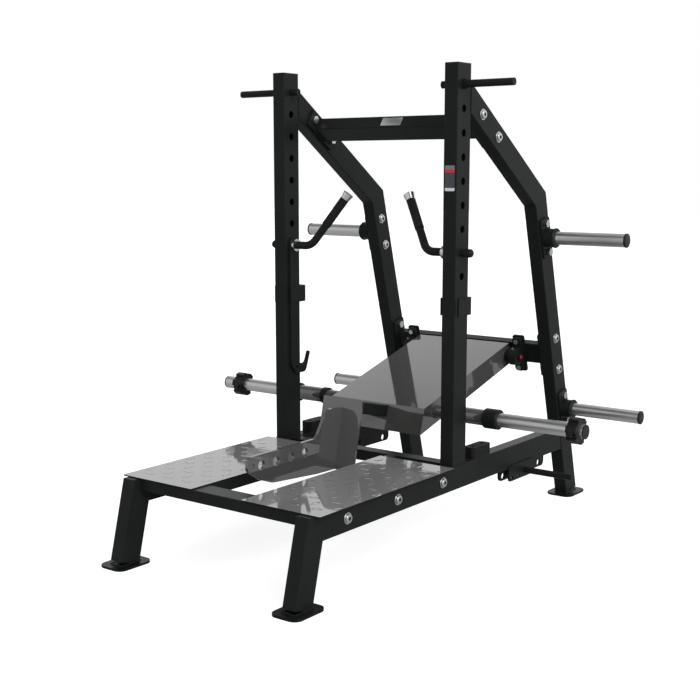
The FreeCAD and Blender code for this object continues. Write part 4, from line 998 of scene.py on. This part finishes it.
def make_decal_film():
    """Colour bands up the decal, by its own height."""
    material, tree, shader = new_material("banded_film")
    low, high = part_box("upright_decal")
    place = tree.nodes.new("ShaderNodeTexCoord")
    split = tree.nodes.new("ShaderNodeSeparateXYZ")
    spread = tree.nodes.new("ShaderNodeMapRange")
    spread.inputs["From Min"].default_value = low.z
    spread.inputs["From Max"].default_value = high.z
    ramp = tree.nodes.new("ShaderNodeValToRGB")
    ramp.color_ramp.interpolation = "CONSTANT"
    elements = ramp.color_ramp.elements
    while len(elements) < len(DECAL_BANDS):
        elements.new(0.5)
    for element, (_, position, color) in zip(elements, DECAL_BANDS):
        element.position = position
        element.color = color
    tree.links.new(place.outputs["Object"], split.inputs["Vector"])
    tree.links.new(split.outputs["Z"], spread.inputs["Value"])
    tree.links.new(spread.outputs["Result"], ramp.inputs["Fac"])
    tree.links.new(ramp.outputs["Color"], shader.inputs["Base Color"])
    shader.inputs["Roughness"].default_value = DECAL_ROUGHNESS
    return material


dress(make_decal_film(), "upright_decal")
badge = rounded_block(Vector((-BADGE_LENGTH / 2, -BADGE_HEIGHT / 2, -BADGE_SUNK)),
                      Vector((BADGE_LENGTH / 2, BADGE_HEIGHT / 2, BADGE_THICK)), BADGE_CORNER, 2)
badge_centre = middle("top_cross_beam") + tilted(0, 1, BEAM_TURN) * BEAM_HALF_DEPTH + X_AXIS * BADGE_X
placed(badge, badge_centre, Matrix.Rotation(BEAM_TURN, 3, "X"))
settle("beam_badge", badge, make_plain("brushed_aluminium", BADGE_COLOR, BADGE_ROUGHNESS, 1.0), "root")


# ---------------------------------------------------------------- studio
# Plain pale floor, white background, a large soft key light from the machine's right, a weak fill
# from above and the camera.

FLOOR_HALF = 30.0
FLOOR_COLOR = (0.50, 0.50, 0.50, 1)
FLOOR_LIFT = 0.80
AMBIENT = 0.5
REAR_GLOW = 1.0
FRONT_GLOW = 0.65
CEILING_GLOW = 0.18
GLOW_SPAN = (-0.8, 0.3)       # from the front of the room to the rear
CEILING_SPAN = (0.55, 0.75)   # from the walls up to the ceiling
KEY_FROM = Vector((0.80, -0.30, 0.52))
KEY_STRENGTH = 1.5
KEY_ANGLE = math.radians(40)
TOP_STRENGTH = 0.7
TOP_ANGLE = math.radians(60)
CAMERA_AT = Vector((2.5853, -3.5154, 1.3059))
CAMERA_TOWARDS = Vector((-0.5947, 0.7871, -0.1640))
CAMERA_LENS = 62.206
CAMERA_SENSOR = 36.0
CAMERA_REACH = 100.0
TOP_FROM = Vector((0.1, 0.2, 1.0))
CAMERA_SHIFT = (-0.00394, 0.0301)


def seen_directly(tree):
    """Two switches: camera, glossy and transmission rays together, then camera rays alone."""
    rays = tree.nodes.new("ShaderNodeLightPath")
    first = tree.nodes.new("ShaderNodeMath")
    first.operation = "MAXIMUM"
    second = tree.nodes.new("ShaderNodeMath")
    second.operation = "MAXIMUM"
    tree.links.new(rays.outputs["Is Camera Ray"], first.inputs[0])
    tree.links.new(rays.outputs["Is Glossy Ray"], first.inputs[1])
    tree.links.new(first.outputs[0], second.inputs[0])
    tree.links.new(rays.outputs["Is Transmission Ray"], second.inputs[1])
    return second.outputs[0], rays.outputs["Is Camera Ray"]


def make_floor():
    material, tree, shader = new_material("studio_floor")
    tree.nodes.remove(shader)
    output = tree.nodes["Material Output"]
    flat = tree.nodes.new("ShaderNodeBsdfDiffuse")
    flat.inputs["Color"].default_value = FLOOR_COLOR
    glow = tree.nodes.new("ShaderNodeEmission")
    lift = tree.nodes.new("ShaderNodeMath")
    lift.operation = "MULTIPLY"
    lift.inputs[1].default_value = FLOOR_LIFT
    both = tree.nodes.new("ShaderNodeAddShader")
    rays = tree.nodes.new("ShaderNodeLightPath")
    tree.links.new(rays.outputs["Is Camera Ray"], lift.inputs[0])
    tree.links.new(lift.outputs[0], glow.inputs["Strength"])
    tree.links.new(flat.outputs[0], both.inputs[0])
    tree.links.new(glow.outputs[0], both.inputs[1])
    tree.links.new(both.outputs[0], output.inputs["Surface"])
    mesh = bpy.data.meshes.new("studio_floor")
    corners = [(-FLOOR_HALF, -FLOOR_HALF, 0), (FLOOR_HALF, -FLOOR_HALF, 0),
               (FLOOR_HALF, FLOOR_HALF, 0), (-FLOOR_HALF, FLOOR_HALF, 0)]
    mesh.from_pydata(corners, [], [(0, 1, 2, 3)])
    mesh.materials.append(material)
    floor = bpy.data.objects.new("studio_floor", mesh)
    bpy.context.scene.collection.objects.link(floor)


def make_world():
    """White to the camera; for polished metal it is dimmer in front of the machine and dark overhead."""
    world = bpy.data.worlds.new("studio")
    bpy.context.scene.world = world
    world.use_nodes = True
    tree = world.node_tree
    tree.nodes.clear()
    output = tree.nodes.new("ShaderNodeOutputWorld")
    background = tree.nodes.new("ShaderNodeBackground")
    background.inputs["Color"].default_value = (1, 1, 1, 1)
    place = tree.nodes.new("ShaderNodeTexCoord")
    split = tree.nodes.new("ShaderNodeSeparateXYZ")
    glow = tree.nodes.new("ShaderNodeMapRange")
    glow.inputs["From Min"].default_value = GLOW_SPAN[0]
    glow.inputs["From Max"].default_value = GLOW_SPAN[1]
    glow.inputs["To Min"].default_value = FRONT_GLOW
    glow.inputs["To Max"].default_value = REAR_GLOW
    ceiling = tree.nodes.new("ShaderNodeMapRange")
    ceiling.inputs["From Min"].default_value = CEILING_SPAN[0]
    ceiling.inputs["From Max"].default_value = CEILING_SPAN[1]
    ceiling.inputs["To Min"].default_value = 1.0
    ceiling.inputs["To Max"].default_value = CEILING_GLOW
    dimmed = tree.nodes.new("ShaderNodeMath")
    dimmed.operation = "MULTIPLY"
    direct, camera = seen_directly(tree)
    chosen = tree.nodes.new("ShaderNodeMix")
    chosen.inputs["A"].default_value = AMBIENT
    shown = tree.nodes.new("ShaderNodeMix")
    shown.inputs["B"].default_value = 1.0
    tree.links.new(place.outputs["Generated"], split.inputs["Vector"])
    tree.links.new(split.outputs["Y"], glow.inputs["Value"])
    tree.links.new(direct, chosen.inputs["Factor"])
    tree.links.new(split.outputs["Z"], ceiling.inputs["Value"])
    tree.links.new(glow.outputs["Result"], dimmed.inputs[0])
    tree.links.new(ceiling.outputs["Result"], dimmed.inputs[1])
    tree.links.new(dimmed.outputs[0], chosen.inputs["B"])
    tree.links.new(camera, shown.inputs["Factor"])
    tree.links.new(chosen.outputs["Result"], shown.inputs["A"])
    tree.links.new(shown.outputs["Result"], background.inputs["Strength"])
    tree.links.new(background.outputs[0], output.inputs["Surface"])


def make_sun(name, comes_from, strength, angle):
    light = bpy.data.lights.new(name, "SUN")
    light.energy = strength
    light.angle = angle
    lamp = bpy.data.objects.new(name, light)
    lamp.rotation_euler = comes_from.to_track_quat("Z", "Y").to_euler()
    bpy.context.scene.collection.objects.link(lamp)


def make_camera():
    data = bpy.data.cameras.new("camera")
    data.sensor_width = CAMERA_SENSOR
    data.lens = CAMERA_LENS
    data.shift_x, data.shift_y = CAMERA_SHIFT
    data.clip_end = CAMERA_REACH
    camera = bpy.data.objects.new("camera", data)
    camera.location = CAMERA_AT
    camera.rotation_euler = CAMERA_TOWARDS.to_track_quat("-Z", "Y").to_euler()
    bpy.context.scene.collection.objects.link(camera)
    bpy.context.scene.camera = camera


make_floor()
make_world()
make_sun("key_light", KEY_FROM, KEY_STRENGTH, KEY_ANGLE)
make_sun("top_light", TOP_FROM, TOP_STRENGTH, TOP_ANGLE)
make_camera()
bpy.context.scene.view_settings.view_transform = "Standard"
